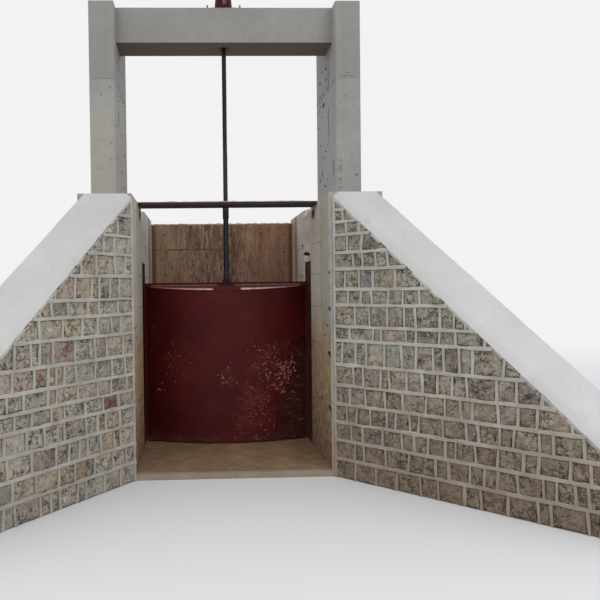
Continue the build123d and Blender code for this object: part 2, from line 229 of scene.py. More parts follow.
def concreteMaterial(name, muddy):
    looks = concreteLooks
    material, coords = startMaterial(name, roughness=0.9, specular=0.2)
    x, y, z = axes(coords)
    toRight, toBack, toTop = facing(coords)
    broad = cloud(coords, 1.1, detail=5.0, roughness=0.6)
    fine = cloud(coords, 9.0, detail=6.0, roughness=0.65)
    grain = cloud(coords, 210.0, detail=2.0)
    streaks = cloud(stretch(coords, (14.0, 14.0, 0.8)), 1.0, roughness=0.6)
    colour = mixed(spread(broad, 0.36, 0.64), looks["cleanDark"], looks["cleanLight"])
    half, ends, pour, wide = (looks[key] for key in ("channelHalf", "endsFrom", "pourTop", "panelWidth"))
    lengthwise = spread(away(toRight), 0.4, 0.6)
    inside = spread(away(x), half + 0.06, half)
    if muddy:
        onBoards = times(inside, larger(lengthwise, spread(away(y), ends + 0.02, ends)))
        colour = mixed(onBoards, colour, channelBoards(looks, x, y, broad, lengthwise))
    # air holes, many on the faces along the channel and few on those across it
    least = spread(lengthwise, 0.0, 1.0, 0.86, 0.42)
    holes = 0.0
    for scale, radius in looks["airHoles"]:
        chosen = above(axes(cells(coords, scale, output="Color"))[0], least)
        holes = larger(holes, times(spread(cells(coords, scale), radius, radius * 0.6), chosen))
    # upright seams between the boards or panels of the formwork
    if muddy:
        seam = 0.0
        for place in looks["boardSeams"]:
            seam = larger(seam, spread(away(y, place), 0.018, 0.006))
        seam = times(seam, inside)
    else:
        offCentre = away(calc("FRACT", calc("DIVIDE", plus(y, 20.0), wide)), 0.5)
        seam = spread(offCentre, 0.5 - 0.0045 / wide, 0.5 - 0.002 / wide)
    seam = times(seam, lengthwise, spread(fine, 0.4, 0.6, 0.3, 1.0))
    colour = coat(
        colour,
        (spread(fine, 0.3, 0.72, 0.0, 0.4), looks["dampAndShade"]),
        (spread(streaks, 0.52, 0.8, 0.0, 0.4), looks["dampAndShade"]),
        (spread(grain, 0.35, 0.7, 0.0, 0.16), looks["pit"]),
        (times(holes, 0.85), looks["pit"]),
        (times(seam, 0.5), looks["pit"]),
    )
    if muddy:
        edge = cloud(coords, 2.3, detail=6.0, roughness=0.65)
        level = plus(z, spread(edge, 0.2, 0.8, -0.3, 0.3))
        muddied = minus(1.0, times(lengthwise, minus(1.0, inside)))
        frontFace = times(below(y, -ends), minus(1.0, lengthwise))
        muddied = minus(muddied, times(frontFace, 0.6))
        mud = times(spread(level, looks["mudTop"], looks["mudFull"]), muddied)
        mudTone = mixed(spread(fine, 0.35, 0.65), looks["mudDark"], looks["mudLight"])
        silt = times(spread(level, looks["siltTop"], 0.0, 0.0, 0.75), muddied)
        dabs = spread(cloud(coords, 17.0, detail=6.0, roughness=0.72, distortion=0.9), 0.51, 0.59)
        dabs = times(dabs, spread(level, 1.3, 0.6, 0.0, 0.8), times(lengthwise, inside))
        colour = coat(colour, (times(mud, 0.8), mudTone), (silt, looks["silt"]), (dabs, looks["splash"]))
    else:
        # the second lift of the columns, above the pour joint, and the beam are painted darker: painted shade
        # near the beam
        # how far a face looks to the front; front faces get painted shade below, and more of the warm stain
        front = spread(toBack, -0.5, -0.9, 0.0, 0.2)
        warm = times(spread(x, 0.0, -0.6), spread(z, 4.3, 3.4), spread(broad, 0.35, 0.6, 0.3, 0.75))
        colour = coat(
            colour,
            (spread(z, pour - 0.01, pour + 0.01, 0.0, 0.42), looks["dampAndShade"]),
            # painted light on the columns' inner faces, and painted shade on their front faces
            (times(lengthwise, spread(away(x), 1.35, 1.3, 0.0, 0.24)), looks["innerFacePaintedLight"]),
            (front, looks["front"]),
            (times(warm, front), looks["warm"]),
            (times(warm, 0.35), looks["warm"]),
        )
    # painted shade: faces that look down are darker
    colour = mixed(times(spread(toTop, -0.8, -0.95), 0.75), colour, looks["soffitShade"])
    bumps = [(broad, 0.02, 0.5), (fine, 0.006, 0.5), (grain, 0.0012, 0.6), (holes, -0.004, 0.8)]
    return dress(material, colour, bumps)


breastLooks = {
    "light": paint(192, 166, 144),
    "middle": paint(152, 120, 98),
    "ochre": paint(163, 138, 111),
    "red": paint(152, 112, 92),
    "dark": paint(84, 60, 48),
    "edge": paint(88, 50, 38),
    "edgeStart": 0.895,
    "corner": paint(200, 176, 156),
    "cornerStart": 0.972,
    "seamHeight": 2.465,
}


def breastWallMaterial():
    # stained brown by silt that ran down it
    looks = breastLooks
    material, coords = startMaterial("muddyBreastWall", roughness=0.92, specular=0.2)
    x, _, z = axes(coords)
    runs = cloud(stretch(coords, (13.0, 13.0, 1.8)), 1.0, detail=7.0, roughness=0.72, distortion=0.4)
    broad = cloud(stretch(coords, (2.2, 2.2, 1.2)), 1.0)
    specks = cloud(stretch(coords, (46.0, 46.0, 11.0)), 1.0, detail=6.0, roughness=0.75, distortion=0.5)
    flecks = cloud(stretch(coords, (34.0, 34.0, 9.0)), 1.0, detail=5.0, roughness=0.7, distortion=0.8)
    blotches = cells(stretch(coords, (7.0, 7.0, 5.0)), 1.0)
    middle = spread(away(x, -0.12), 0.7, 0.3, 0.4, 1.0)
    blotch = times(spread(blotches, 0.2, 0.06), spread(flecks, 0.45, 0.52))
    blotch = times(blotch, spread(middle, 0.2, 1.0, 0.15, 0.7))
    seam = spread(away(z, looks["seamHeight"]), 0.012, 0.004)
    seam = times(seam, spread(x, -0.1, 0.3, 1.0, 0.25), spread(runs, 0.4, 0.6))
    side = spread(away(x), looks["edgeStart"], looks["edgeStart"] + 0.05)
    corner = spread(away(x), looks["cornerStart"], looks["cornerStart"] + 0.008)
    colour = mixed(spread(broad, 0.4, 0.6, 0.35, 1.0), looks["dark"], looks["middle"])
    colour = coat(
        colour,
        (spread(x, -0.35, -0.75, 0.0, 0.7), looks["ochre"]),
        (spread(x, 0.1, 0.5, 0.0, 0.6), looks["red"]),
        (times(spread(runs, 0.5, 0.64, 0.0, 0.6), middle), looks["light"]),
        (times(spread(runs, 0.48, 0.34, 0.0, 0.95), middle), looks["dark"]),
        (times(spread(flecks, 0.55, 0.66), middle, 0.95), looks["light"]),
        (times(spread(specks, 0.52, 0.62), spread(middle, 0.2, 1.0, 0.3, 1.0)), looks["dark"]),
        (blotch, looks["dark"]),
        (seam, looks["dark"]),
        (times(side, 0.75), looks["edge"]),
        (times(corner, 0.75), looks["corner"]),
    )
    return dress(material, colour, [(runs, 0.004, 0.5), (specks, 0.002, 0.6)])


copingLooks = {
    "light": paint(201, 201, 201),
    "dark": paint(190, 189, 188),
    "stain": paint(158, 155, 149),
    "head": paint(168, 166, 162),
}


def copingMaterial():
    looks = copingLooks
    material, coords = startMaterial("trowelledCement", roughness=0.85, specular=0.25)
    broad = cloud(coords, 1.7, detail=5.0, roughness=0.6)
    trowel = cloud(stretch(coords, (6.0, 2.0, 2.0)), 2.0, detail=5.0, roughness=0.6)
    grain = cloud(coords, 160.0, detail=3.0)
    colour = coat(
        mixed(spread(broad, 0.35, 0.65), looks["dark"], looks["light"]),
        (spread(trowel, 0.6, 0.8, 0.0, 0.35), looks["stain"]),
        (spread(grain, 0.5, 0.85, 0.0, 0.2), looks["stain"]),
        (spread(axes(coords)[2], 1.6, 2.8, 0.0, 0.3), looks["head"]),
    )
    return dress(material, colour, [(trowel, 0.004, 0.4), (grain, 0.001, 0.5)])


# Masonry


stoneLooks = {
    "pit": paint(50, 41, 33),
    "shade": paint(104, 95, 85),
    "pale": paint(196, 188, 176),
    "mud": paint(138, 118, 97),
    "mudTop": 1.3,
}

# each tone with its share of the stones
stoneTones = [
    (paint(179, 172, 158), 6.0),
    (paint(168, 161, 147), 4.5),
    (paint(182, 171, 150), 2.4),
    (paint(172, 155, 134), 0.9),
    (paint(178, 164, 153), 1.4),
    (paint(154, 146, 138), 1.6),
    (paint(168, 166, 158), 1.4),
    (paint(154, 132, 116), 0.5),
    (paint(122, 70, 62), 0.1),
]


def lowMud(looks, coords, wobble, least, most):
    # brown stains towards the foot of the masonry, stronger on the right
    x, _, z = axes(coords)
    mud = spread(plus(z, spread(wobble, 0.2, 0.8, -0.4, 0.4)), looks["mudTop"], 0.0)
    return times(mud, spread(x, -1.0, 1.0, least, most)), looks["mud"]


def stoneMaterial():
    looks = stoneLooks
    material, coords = startMaterial("rubbleStone", roughness=0.9, specular=0.2)
    tone = addNode(coords, "ShaderNodeAttribute")
    tone.attribute_name = "tone"
    mottle = cloud(coords, 15.0, detail=8.0, roughness=0.68, distortion=0.6)
    patches = cloud(coords, 12.0, detail=6.0, roughness=0.7, distortion=1.2)
    chips = cloud(coords, 26.0, detail=6.0, roughness=0.65, distortion=1.6)
    ridges = away(cloud(coords, 9.0, detail=7.0, roughness=0.7), 0.5)
    fields = cloud(coords, 6.0, detail=3.0)
    # dark ragged rims: painted shade in the gaps between the stones and the mortar; the tone's fourth value
    # runs from 0 at a stone's edge to 1 inside
    inset = plus(tone.outputs["Alpha"], spread(patches, 0.3, 0.7, -0.9, 0.9))
    edgeShade = times(spread(inset, 0.45, -0.05), 0.92)
    hollow = times(spread(chips, 0.45, 0.37), spread(fields, 0.38, 0.54, 0.2, 0.95))
    colour = coat(
        tone.outputs["Color"],
        (spread(mottle, 0.46, 0.62, 0.0, 0.75), looks["pale"]),
        (spread(patches, 0.47, 0.36, 0.0, 0.8), looks["shade"]),
        lowMud(looks, coords, mottle, 0.1, 0.8),
        (times(spread(ridges, 0.03, 0.007), spread(fields, 0.44, 0.56), 0.9), looks["pit"]),
        (larger(edgeShade, hollow), looks["pit"]),
    )
    return dress(material, colour, [(mottle, 0.03, 1.0), (chips, 0.02, 1.0)])


mortarLooks = {
    "light": paint(191, 188, 181),
    "dark": paint(164, 161, 154),
    "mud": paint(136, 118, 98),
    "mudTop": 1.3,
}


def mortarMaterial():
    looks = mortarLooks
    material, coords = startMaterial("raisedMortar", roughness=0.92, specular=0.15)
    broad = cloud(coords, 4.0, detail=5.0, roughness=0.65)
    grain = cloud(coords, 120.0, roughness=0.7)
    colour = coat(
        mixed(spread(broad, 0.35, 0.65), looks["dark"], looks["light"]),
        (spread(grain, 0.45, 0.8, 0.0, 0.5), looks["dark"]),
        lowMud(looks, coords, broad, 0.2, 0.7),
    )
    return dress(material, colour, [(broad, 0.006, 0.5), (grain, 0.0025, 0.8)])


# Iron, steel and bronze


maroonLooks = {
    "light": paint(85, 24, 25),
    "dark": paint(62, 15, 17),
    "purple": paint(68, 16, 25),
    "film": paint(104, 50, 44),
    "dustAndSheen": paint(120, 92, 76),
    "mud": paint(82, 58, 46),
    "endMud": paint(68, 44, 36),
    "darkTop": paint(26, 14, 16),
    # a thin film of silt on the leaf: centre across, centre up, half width, half height
    "filmFields": [
        (0.62, 0.97, 0.36, 0.36),
        (0.34, 0.5, 0.26, 0.42),
        (-0.6, 1.06, 0.2, 0.28),
        (0.0, 0.85, 0.12, 0.16),
    ],
}


def filmMask(looks, x, z, wobble):
    mask = 0.0
    for centreX, centreZ, halfWide, halfHigh in looks["filmFields"]:
        across = calc("DIVIDE", minus(x, centreX), halfWide)
        up = calc("DIVIDE", minus(z, centreZ), halfHigh)
        squares = plus(times(across, across), times(up, up))
        mask = larger(mask, spread(plus(squares, wobble), 1.3, 0.3))
    return mask


def maroonMaterial(name, splashed=False, darkenedFrom=None):
    looks = maroonLooks
    material, coords = startMaterial(name, roughness=0.42, specular=0.12)
    x, _, z = axes(coords)
    broad = cloud(coords, 1.8, detail=5.0, roughness=0.6)
    brush = cloud(stretch(coords, (30.0, 30.0, 5.0)), 1.0, detail=5.0, roughness=0.6)
    cast = cloud(coords, 150.0, detail=3.0, roughness=0.6)
    hue = cloud(stretch(coords, (1.0, 1.0, 1.4)), 3.4)
    colour = coat(
        mixed(spread(broad, 0.36, 0.64), looks["dark"], looks["light"]),
        (spread(hue, 0.5, 0.7, 0.0, 0.5), looks["purple"]),
        (spread(brush, 0.5, 0.8, 0.0, 0.18), looks["film"]),
    )
    shine = spread(broad, 0.3, 0.7, 0.4, 0.54)
    dustMost = 0.6
    if splashed:
        dustMost = 0.2
        wobble = spread(cloud(coords, 5.0, detail=5.0), 0.3, 0.7, -0.6, 0.6)
        smear = cloud(stretch(coords, (24.0, 24.0, 14.0)), 1.0, detail=6.0, roughness=0.7)
        haze = times(filmMask(looks, x, z, wobble), spread(smear, 0.42, 0.66, 0.06, 0.62))
        # painted shade: the ends of the leaf, where it curves away towards the piers, are darker than its
        # middle
        ends = spread(away(x, 0.3), 0.45, 1.2, 0.0, 0.4)
        low = spread(plus(z, spread(broad, 0.2, 0.8, -0.2, 0.2)), 0.2, 0.04)
        low = times(low, spread(away(x, -0.1), 0.3, 0.9, 0.2, 0.8))
        endMud = minus(plus(x, spread(hue, 0.3, 0.7, -0.16, 0.16)), times(z, 0.36))
        endMud = times(spread(endMud, 0.44, 0.62), spread(z, 1.5, 1.0), spread(smear, 0.36, 0.6, 0.45, 0.9))
        shine = plus(shine, times(endMud, 0.3))
        layers = ((haze, "film"), (ends, "dark"), (low, "mud"), (endMud, "endMud"))
        colour = coat(colour, *[(amount, looks[key]) for amount, key in layers])
    if darkenedFrom is not None:
        # the lug is painted nearly black from the given height up
        darkTop = spread(plus(z, spread(brush, 0.3, 0.7, -0.01, 0.01)), darkenedFrom, darkenedFrom + 0.02)
        colour = mixed(times(darkTop, 0.9), colour, looks["darkTop"])
    # dust on the faces that look up; on the lug it reaches down its sloped shoulders as a painted highlight
    top = spread(facing(coords)[2], *((0.75, 0.95) if darkenedFrom is None else (0.3, 0.6)))
    dustAndSheen = times(top, spread(cloud(coords, 24.0, detail=5.0), 0.34, 0.6, 0.05, dustMost))
    colour = mixed(dustAndSheen, colour, looks["dustAndSheen"])
    bumps = [(broad, 0.004, 0.4), (brush, 0.0008, 0.4), (cast, 0.0006, 0.5)]
    return dress(material, colour, bumps, roughness=plus(shine, times(dustAndSheen, 0.4)))


def guideMaterial():
    # nearly black maroon, browner towards the right guide, with rust and silt low down
    material, coords = startMaterial("guideIron", roughness=0.6, specular=0.12)
    x, _, z = axes(coords)
    broad = cloud(coords, 7.0, detail=5.0, roughness=0.65)
    grit = cloud(coords, 90.0)
    silt = spread(plus(z, spread(broad, 0.2, 0.8, -0.3, 0.3)), 0.6, 0.1)
    colour = coat(
        mixed(spread(broad, 0.35, 0.65), paint(34, 10, 8), paint(52, 18, 14)),
        (times(spread(x, 0.0, 1.0, 0.0, 0.8), spread(broad, 0.4, 0.6)), paint(92, 62, 52)),
        (spread(grit, 0.6, 0.78, 0.0, 0.4), paint(100, 60, 42)),
        (times(silt, 0.6), paint(84, 62, 48)),
    )
    return dress(material, colour, [(grit, 0.0015, 0.6)])


def greasedSteelMaterial():
    material, coords = startMaterial("greasedSteel", roughness=0.3, specular=0.3, metallic=0.1)
    smears = cloud(stretch(coords, (20.0, 20.0, 6.0)), 1.0, detail=5.0, roughness=0.6)
    grit = cloud(coords, 130.0, detail=3.0)
    colour = mixed(spread(smears, 0.4, 0.7), paint(12, 14, 26), paint(30, 30, 38))
    colour = mixed(spread(grit, 0.6, 0.8, 0.0, 0.4), colour, paint(60, 52, 48))
    return dress(material, colour, [(grit, 0.0008, 0.6)], roughness=spread(smears, 0.3, 0.7, 0.22, 0.5))


def wornMetalMaterial(name, bright, dull, rust, roughness):
    material, coords = startMaterial(name, roughness, specular=0.4, metallic=0.85)
    broad = cloud(coords, 22.0, detail=5.0, roughness=0.65)
    fine = cloud(coords, 140.0, roughness=0.6)
    colour = mixed(spread(broad, 0.35, 0.65), dull, bright)
    colour = mixed(spread(fine, 0.55, 0.72, 0.0, 0.8), colour, rust)
    rough = spread(fine, 0.3, 0.7, roughness - 0.12, roughness + 0.2)
    return dress(material, colour, [(fine, 0.0008, 0.5)], roughness=rough)


def plankMaterial():
    material, coords = startMaterial("plankPrimer", roughness=0.6, specular=0.25)
    broad = cloud(coords, 5.0, detail=5.0, roughness=0.6)
    fine = cloud(coords, 90.0)
    colour = coat(
        mixed(spread(broad, 0.35, 0.65), paint(30, 21, 23), paint(46, 31, 31)),
        (spread(fine, 0.58, 0.78, 0.0, 0.5), paint(84, 66, 58)),
        (times(spread(facing(coords)[2], 0.6, 0.9), 0.8), paint(150, 138, 122)),
    )
    return dress(material, colour, [(fine, 0.001, 0.6)])


def lipHighlightMaterial():
    # painted highlight: the round edge is painted pale pink, as the light that it catches
    material, coords = startMaterial("lipHighlight", roughness=0.38, specular=0.5)
    wear = cloud(stretch(coords, (22.0, 30.0, 30.0)), 1.0)
    aside = away(axes(coords)[0])
    # the painted highlight fades out towards the lug and the leaf's ends
    ends = larger(spread(aside, 0.55, 0.95), spread(aside, 0.19, 0.16))
    colour = mixed(spread(wear, 0.35, 0.65), paint(176, 128, 124), paint(226, 190, 186))
    return dress(material, mixed(times(ends, 0.75), colour, paint(120, 62, 58)))


def gritMaterial(name, dark, light, scale=45.0, limits=(0.35, 0.65), bump=(0.004, 0.7)):
    material, coords = startMaterial(name, roughness=0.95, specular=0.1)
    lumps = cloud(coords, scale, detail=6.0, roughness=0.7)
    return dress(material, mixed(spread(lumps, *limits), dark, light), [(lumps, *bump)])


# plain gritty finishes, each with its dark and its light tone
gritTones = {
    "holeAndShadowDark": (paint(50, 42, 36), paint(72, 60, 50)),
    "tieStain": (paint(112, 84, 54), paint(150, 120, 84)),
    "driedMud": (paint(84, 54, 44), paint(142, 108, 90)),
    "scabCement": (paint(116, 114, 111), paint(156, 154, 150)),
    # painted lighter than the crumb cement, as painted light on the lumps in the slot's shade
    "paleCement": (paint(196, 188, 178), paint(226, 222, 214)),
    "rustCrust": (paint(54, 30, 22), paint(96, 60, 46)),
    "crumbCement": (paint(150, 142, 130), paint(186, 180, 170)),
    "railFootBead": (paint(126, 80, 68), paint(176, 134, 118)),
    "driedSilt": (paint(104, 52, 48), paint(204, 152, 142)),
}

# worn metals: bright, dull and rusty tone, and how rough
metalTones = {
    "sealBronze": (paint(176, 136, 78), paint(128, 94, 54), paint(78, 74, 52), 0.4),
    "bareSteel": (paint(176, 172, 166), paint(128, 122, 116), paint(104, 72, 52), 0.42),
    "boltSteel": (paint(120, 112, 104), paint(84, 76, 70), paint(110, 66, 42), 0.55),
}

grit = {name: gritMaterial(name, *tones) for name, tones in gritTones.items()}
metal = {name: wornMetalMaterial(name, *tones) for name, tones in metalTones.items()}
cleanConcrete = concreteMaterial("castConcrete", muddy=False)
channelConcrete = concreteMaterial("channelConcrete", muddy=True)
copingCement = copingMaterial()
rubbleStone = stoneMaterial()
raisedMortar = mortarMaterial()
# the bed behind the stones, seen only in the chinks, painted darker than the raised mortar as painted shade
# in them
chinkShadeBed = gritMaterial("chinkShadeBed", paint(86, 78, 68), paint(136, 129, 118), 30.0, (0.3, 0.7), (0.01, 0.8))
lugPaint = maroonMaterial("lugPaint", darkenedFrom=1.945)
fittingPaint = maroonMaterial("fittingPaint")
greasedSteel = greasedSteelMaterial()
lipHighlight = lipHighlightMaterial()

# words in the names of the solids, and the finish that these get
nodeFinishes = [
    (("abutment", "channel_floor", "guide_grout"), channelConcrete),
    (("column", "top_beam"), cleanConcrete),
    (("breast_wall",), breastWallMaterial()),
    (("wing_wall",), chinkShadeBed),
    (("_guide", "frame_sill"), guideMaterial()),
    (("wing_coping",), copingCement),
    (("leaf_casting",), maroonMaterial("leafPaint", splashed=True)),
    (("lifting_lug", "lug_pin"), lugPaint),
    (("walkway_plank",), plankMaterial()),
    (("stem_", "input_shaft"), greasedSteel),
    (("facing", "bottom_seal", "lift_nut"), metal["sealBronze"]),
    (("crank_grip",), metal["bareSteel"]),
]


def finishFor(nodeName):
    for words, material in nodeFinishes:
        if any(word in nodeName for word in words):
            return material
    return fittingPaint


for nodeName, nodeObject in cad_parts.items():
    nodeObject.data.materials.clear()
    nodeObject.data.materials.append(finishFor(nodeName))
print("materials ready")


# Small helpers for shapes


def hold(value, low=0.0, high=1.0):
    return max(low, min(high, value))


def ease(value):
    value = hold(value)
    return value * value * (3 - 2 * value)


def circle(sides):
    # the cosine and the sine at each corner of a ring
    turns = [2 * math.pi * n / sides for n in range(sides)]
    return [(math.cos(turn), math.sin(turn)) for turn in turns]


def tube(faces, first, rings, size):
    # walls between rings of points, from the point number first on, and a face on each end
    for a in range(first, first + (rings - 1) * size, size):
        for k in range(size):
            m = (k + 1) % size
            faces.append((a + k, a + m, a + size + m, a + size + k))
    faces.append([first + k for k in range(size)])
    faces.append([first + (rings - 1) * size + k for k in range(size)])


def addObject(name, data):
    thing = bpy.data.objects.new(name, data)
    bpy.context.scene.collection.objects.link(thing)
    return thing


def makePiece(name, heap, material, body, smoothAngle=None):
    # heap is a list of points, a list of faces and, for the stones, a list of tones
    verts, faces, *tones = heap
    mesh = bpy.data.meshes.new(name)
    mesh.from_pydata([tuple(v) for v in verts], [], faces)
    if tones:
        layer = mesh.color_attributes.new("tone", "FLOAT_COLOR", "POINT")
        for index, tone in enumerate(tones[0]):
            layer.data[index].color = tone
    shell = bmesh.new()
    shell.from_mesh(mesh)
    bmesh.ops.recalc_face_normals(shell, faces=shell.faces)
    shell.to_mesh(mesh)
    shell.free()
    if smoothAngle is not None:
        mesh.polygons.foreach_set("use_smooth", [True] * len(mesh.polygons))
        mesh.set_sharp_from_angle(angle=math.radians(smoothAngle))
    mesh.materials.append(material)
    piece = addObject(name, mesh)
    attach(piece, body)
    return piece


# Coursed rubble on the wing walls


masonry = {
    "stoneStep": 0.014,
    "backStep": 0.024,
    "stoneWidths": (0.09, 0.27),
    "jointWide": 0.037,
    "uprightWide": 0.026,
    "jointHigh": 0.018,
    "lap": 0.007,
    "waver": 0.003,
    "stoneOut": 0.010,
    "outMore": (-0.003, 0.004),
    "stoneRough": 0.012,
    "arris": 0.02,
    "tilt": 0.006,
    "bedDepth": 0.006,
    "mortarStep": 0.024,
    "headStrip": 0.026,
    "toeGap": 0.02,
    "leastLong": 0.03,
    "leastHigh": 0.012,
    "leftGain": 1.31,
    "leftShades": (0.84, 1.1),
    "rightShades": (0.75, 1.13),
    "lean": 0.008,
    "shortest": 0.06,
    "remnant": 0.02,
    "uprightShares": (0.7, 1.2),
    "heightShares": (0.7, 0.95),
    "patchDrop": 0.014,
    "patchShares": (0.4, 0.75),
    "patchHigh": 0.6,
    "patchLengths": (0.08, 0.3),
    "patchGaps": (0.03, 0.16),
}

# across the joint and up out of it, as shares of its width and height, from bed to bed
mortarSection = [(-0.5, None), (-0.47, 0.72), (-0.36, 1.0), (0.36, 0.97), (0.47, 0.66), (0.5, None)]


def cornersAt(nodeName, pick):
    # the corners of a wing's solid at its head, picked by max, or at its toe, picked by min
    points = [vertex.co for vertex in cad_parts[nodeName].data.vertices]
    y = pick(p.y for p in points)
    return y, [p for p in points if abs(p.y - y) < 1e-4]


def wingFace(nodeName, outside):
    # one long side of a wing, read from its solid: where it starts, where it ends and how high it is there
    ends = []
    for y, here in (cornersAt(nodeName, max), cornersAt(nodeName, min)):
        edge = (max if outside else min)(abs(p.x) for p in here if p.z < 1e-4)
        ends.append((Vector((math.copysign(edge, here[0].x), y, 0)), max(p.z for p in here)))
    (head, headTop), (toe, toeTop) = ends
    along = (toe - head).normalized()
    normal = Vector((along.y, -along.x, 0))
    if (normal.x * head.x > 0) != outside:
        normal = -normal
    tops = {"headTop": headTop, "toeTop": toeTop}
    return {"head": head, "along": along, "normal": normal, "length": (toe - head).length, **tops}


def jointHeights(nodeName):
    # the level joints stand out from the solid at the head, each with a lower and an upper edge
    here = cornersAt(nodeName, max)[1]
    inner = min(abs(p.x) for p in here if p.z < 1e-4)
    edges = sorted({round(p.z, 4) for p in here if abs(p.x) < inner - 0.005})
    return [(low + high) / 2 for low, high in zip(edges[::2], edges[1::2])]


def placeOn(face, along, z, out):
    return face["head"] + face["along"] * along + face["normal"] * out + Vector((0, 0, max(0.0005, z)))


def topOf(face, along):
    return face["headTop"] + (face["toeTop"] - face["headTop"]) * along / face["length"]


def reachAt(face, z):
    # how far along the face its top is still above z
    share = (face["headTop"] - z) / (face["headTop"] - face["toeTop"])
    return hold(share, 0, 1) * face["length"]


def addStone(heap, face, left, right, low, high, step, rng):
    right = min(right, reachAt(face, low + masonry["leastHigh"]))
    if right - left < masonry["leastLong"]:
        return
    columns = max(3, round((right - left) / step))
    rows = max(3, round((high - low) / step))
    tone = rng.choices(*zip(*stoneTones))[0]
    if face["head"].x < 0:
        gain = rng.uniform(*masonry["leftShades"]) * masonry["leftGain"]
    else:
        gain = rng.uniform(*masonry["rightShades"])
    tone = [value * gain for value in tone[:3]]
    out = masonry["stoneOut"] + rng.uniform(*masonry["outMore"])
    tiltAcross, tiltUp = (rng.uniform(-masonry["tilt"], masonry["tilt"]) for n in range(2))
    seed = Vector([rng.uniform(0, 50) for n in range(3)])
    verts, faces, tones = heap
    start = len(verts)
    for j in range(rows + 1):
        for i in range(columns + 1):
            along = left + (right - left) * i / columns
            top = min(high, topOf(face, along))
            z = low + max(0.0, top - low) * j / rows
            inset = min(along - left, right - along, z - low, max(0.0, top - z))
            lift = ease(inset / masonry["arris"])
            here = seed + Vector((along, z, 0))
            bumps = noise.fractal(here * 11, 0.7, 2.1, 5) * masonry["stoneRough"]
            bumps -= max(0, noise.noise(here * 8 + seed) - 0.15) * 3.5 * masonry["stoneRough"]
            tilt = tiltAcross * (i / columns - 0.5) * 2 + tiltUp * (j / rows - 0.5) * 2
            verts.append(placeOn(face, along, z, -0.001 + lift * max(0.002, out + bumps + tilt)))
            tones.append((*tone, lift))
    for j in range(rows):
        for i in range(columns):
            a = start + j * (columns + 1) + i
            faces.append((a, a + 1, a + columns + 2, a + columns + 1))
    # close the block behind, in the bed
    border = [i for i in range(columns + 1)]
    border += [j * (columns + 1) + columns for j in range(1, rows + 1)]
    border += [rows * (columns + 1) + i for i in range(columns - 1, -1, -1)]
    border += [j * (columns + 1) for j in range(rows - 1, 0, -1)]
    back, count = len(verts), len(border)
    for n, index in enumerate(border):
        verts.append(verts[start + index] - face["normal"] * masonry["bedDepth"])
        tones.append((*tone, 0.0))
        m = (n + 1) % count
        faces.append((start + index, start + border[m], back + m, back + n))
    faces.append([back + n for n in range(count)])


def addRibbon(heap, face, path, wide, high, seed):
    # a raised bead of mortar along a path of (along, up) points
    verts, faces = heap
    first = len(verts)
    for n, (along, z) in enumerate(path):
        before, after = path[max(0, n - 1)], path[min(len(path) - 1, n + 1)]
        run = Vector((after[0] - before[0], after[1] - before[1])).normalized()
        here = Vector((along * 8, z * 8, seed))
        width = wide * (1 + 0.3 * noise.noise(here) + 0.22 * noise.noise(here * 4.3))
        height = high * (1 + 0.22 * noise.noise(here * 1.7 + Vector((9, 0, 0))))
        drift = 0.1 * wide * noise.noise(here * 0.9 + Vector((0, 7, 0)))
        for across, up in mortarSection:
            out = -masonry["bedDepth"] if up is None else up * height
            offset = across * width + drift
            verts.append(placeOn(face, along - run.y * offset, z + run.x * offset, out))
    tube(faces, first, len(path), len(mortarSection))


def evenPath(start, end):
    length = math.hypot(end[0] - start[0], end[1] - start[1])
    count = max(2, round(length / masonry["mortarStep"]))
    return [tuple(a + (b - a) * n / count for a, b in zip(start, end)) for n in range(count + 1)]


def layMasonry(wing, outside):
    looks = masonry
    face = wingFace(wing, outside)
    rng = random.Random(f"{wing}{outside}")
    heights = [0.0, *jointHeights(wing), face["headTop"]]
    step = looks["backStep"] if outside else looks["stoneStep"]
    stones, mortar = ([], [], []), ([], [])
    half = looks["jointWide"] / 2 - looks["lap"]
    end = face["length"] - looks["toeGap"]
    for number, (low, high) in enumerate(zip(heights, heights[1:])):
        reach = min(reachAt(face, low), end)
        along = 0.0
        while along < reach - looks["remnant"]:
            following = along + rng.uniform(*looks["stoneWidths"])
            if reach - following < looks["shortest"]:
                following = reach
            left = along + (half if along > 0 else looks["headStrip"] * 0.6)
            bottom = low + (half if low > 0 else 0.001)
            addStone(stones, face, left, following - half, bottom, high - half, step, rng)
            top = min(high, topOf(face, following))
            if following < reach and top - low > looks["leastLong"]:
                lean = rng.uniform(-looks["lean"], looks["lean"])
                path = evenPath((following - lean, low), (following + lean, top))
                wide = looks["uprightWide"] * rng.uniform(*looks["uprightShares"])
                tall = looks["jointHigh"] * rng.uniform(*looks["heightShares"])
                addRibbon(mortar, face, path, wide, tall, number)
            along = following
        if low > 0:
            path = evenPath((-0.004, low), (max(0.05, reach - 0.01), low))
            path = [(a, b + looks["waver"] * noise.noise(Vector((a * 2.5, b, 3)))) for a, b in path]
            addRibbon(mortar, face, path, looks["jointWide"], looks["jointHigh"], number + 40)
    inset = looks["headStrip"] * 0.4
    upright = evenPath((inset, 0.0), (inset, face["headTop"] - 0.01))
    addRibbon(mortar, face, upright, looks["headStrip"], looks["jointHigh"], 90)
    along = 0.01
    while along < end - 0.1:
        # patches of mortar under the coping, with dark gaps between them
        stop = min(end, along + rng.uniform(*looks["patchLengths"]))
        patch = evenPath(*((at, topOf(face, at) - looks["patchDrop"]) for at in (along, stop)))
        wide = looks["jointWide"] * rng.uniform(*looks["patchShares"])
        addRibbon(mortar, face, patch, wide, looks["jointHigh"] * looks["patchHigh"], along * 7)
        along = stop + rng.uniform(*looks["patchGaps"])
    where = "outer" if outside else "inner"
    makePiece(f"{wing}_{where}_stones", stones, rubbleStone, "structure", 50)
    makePiece(f"{wing}_{where}_mortar", mortar, raisedMortar, "structure", 45)
    return len(stones[1]), len(mortar[1])


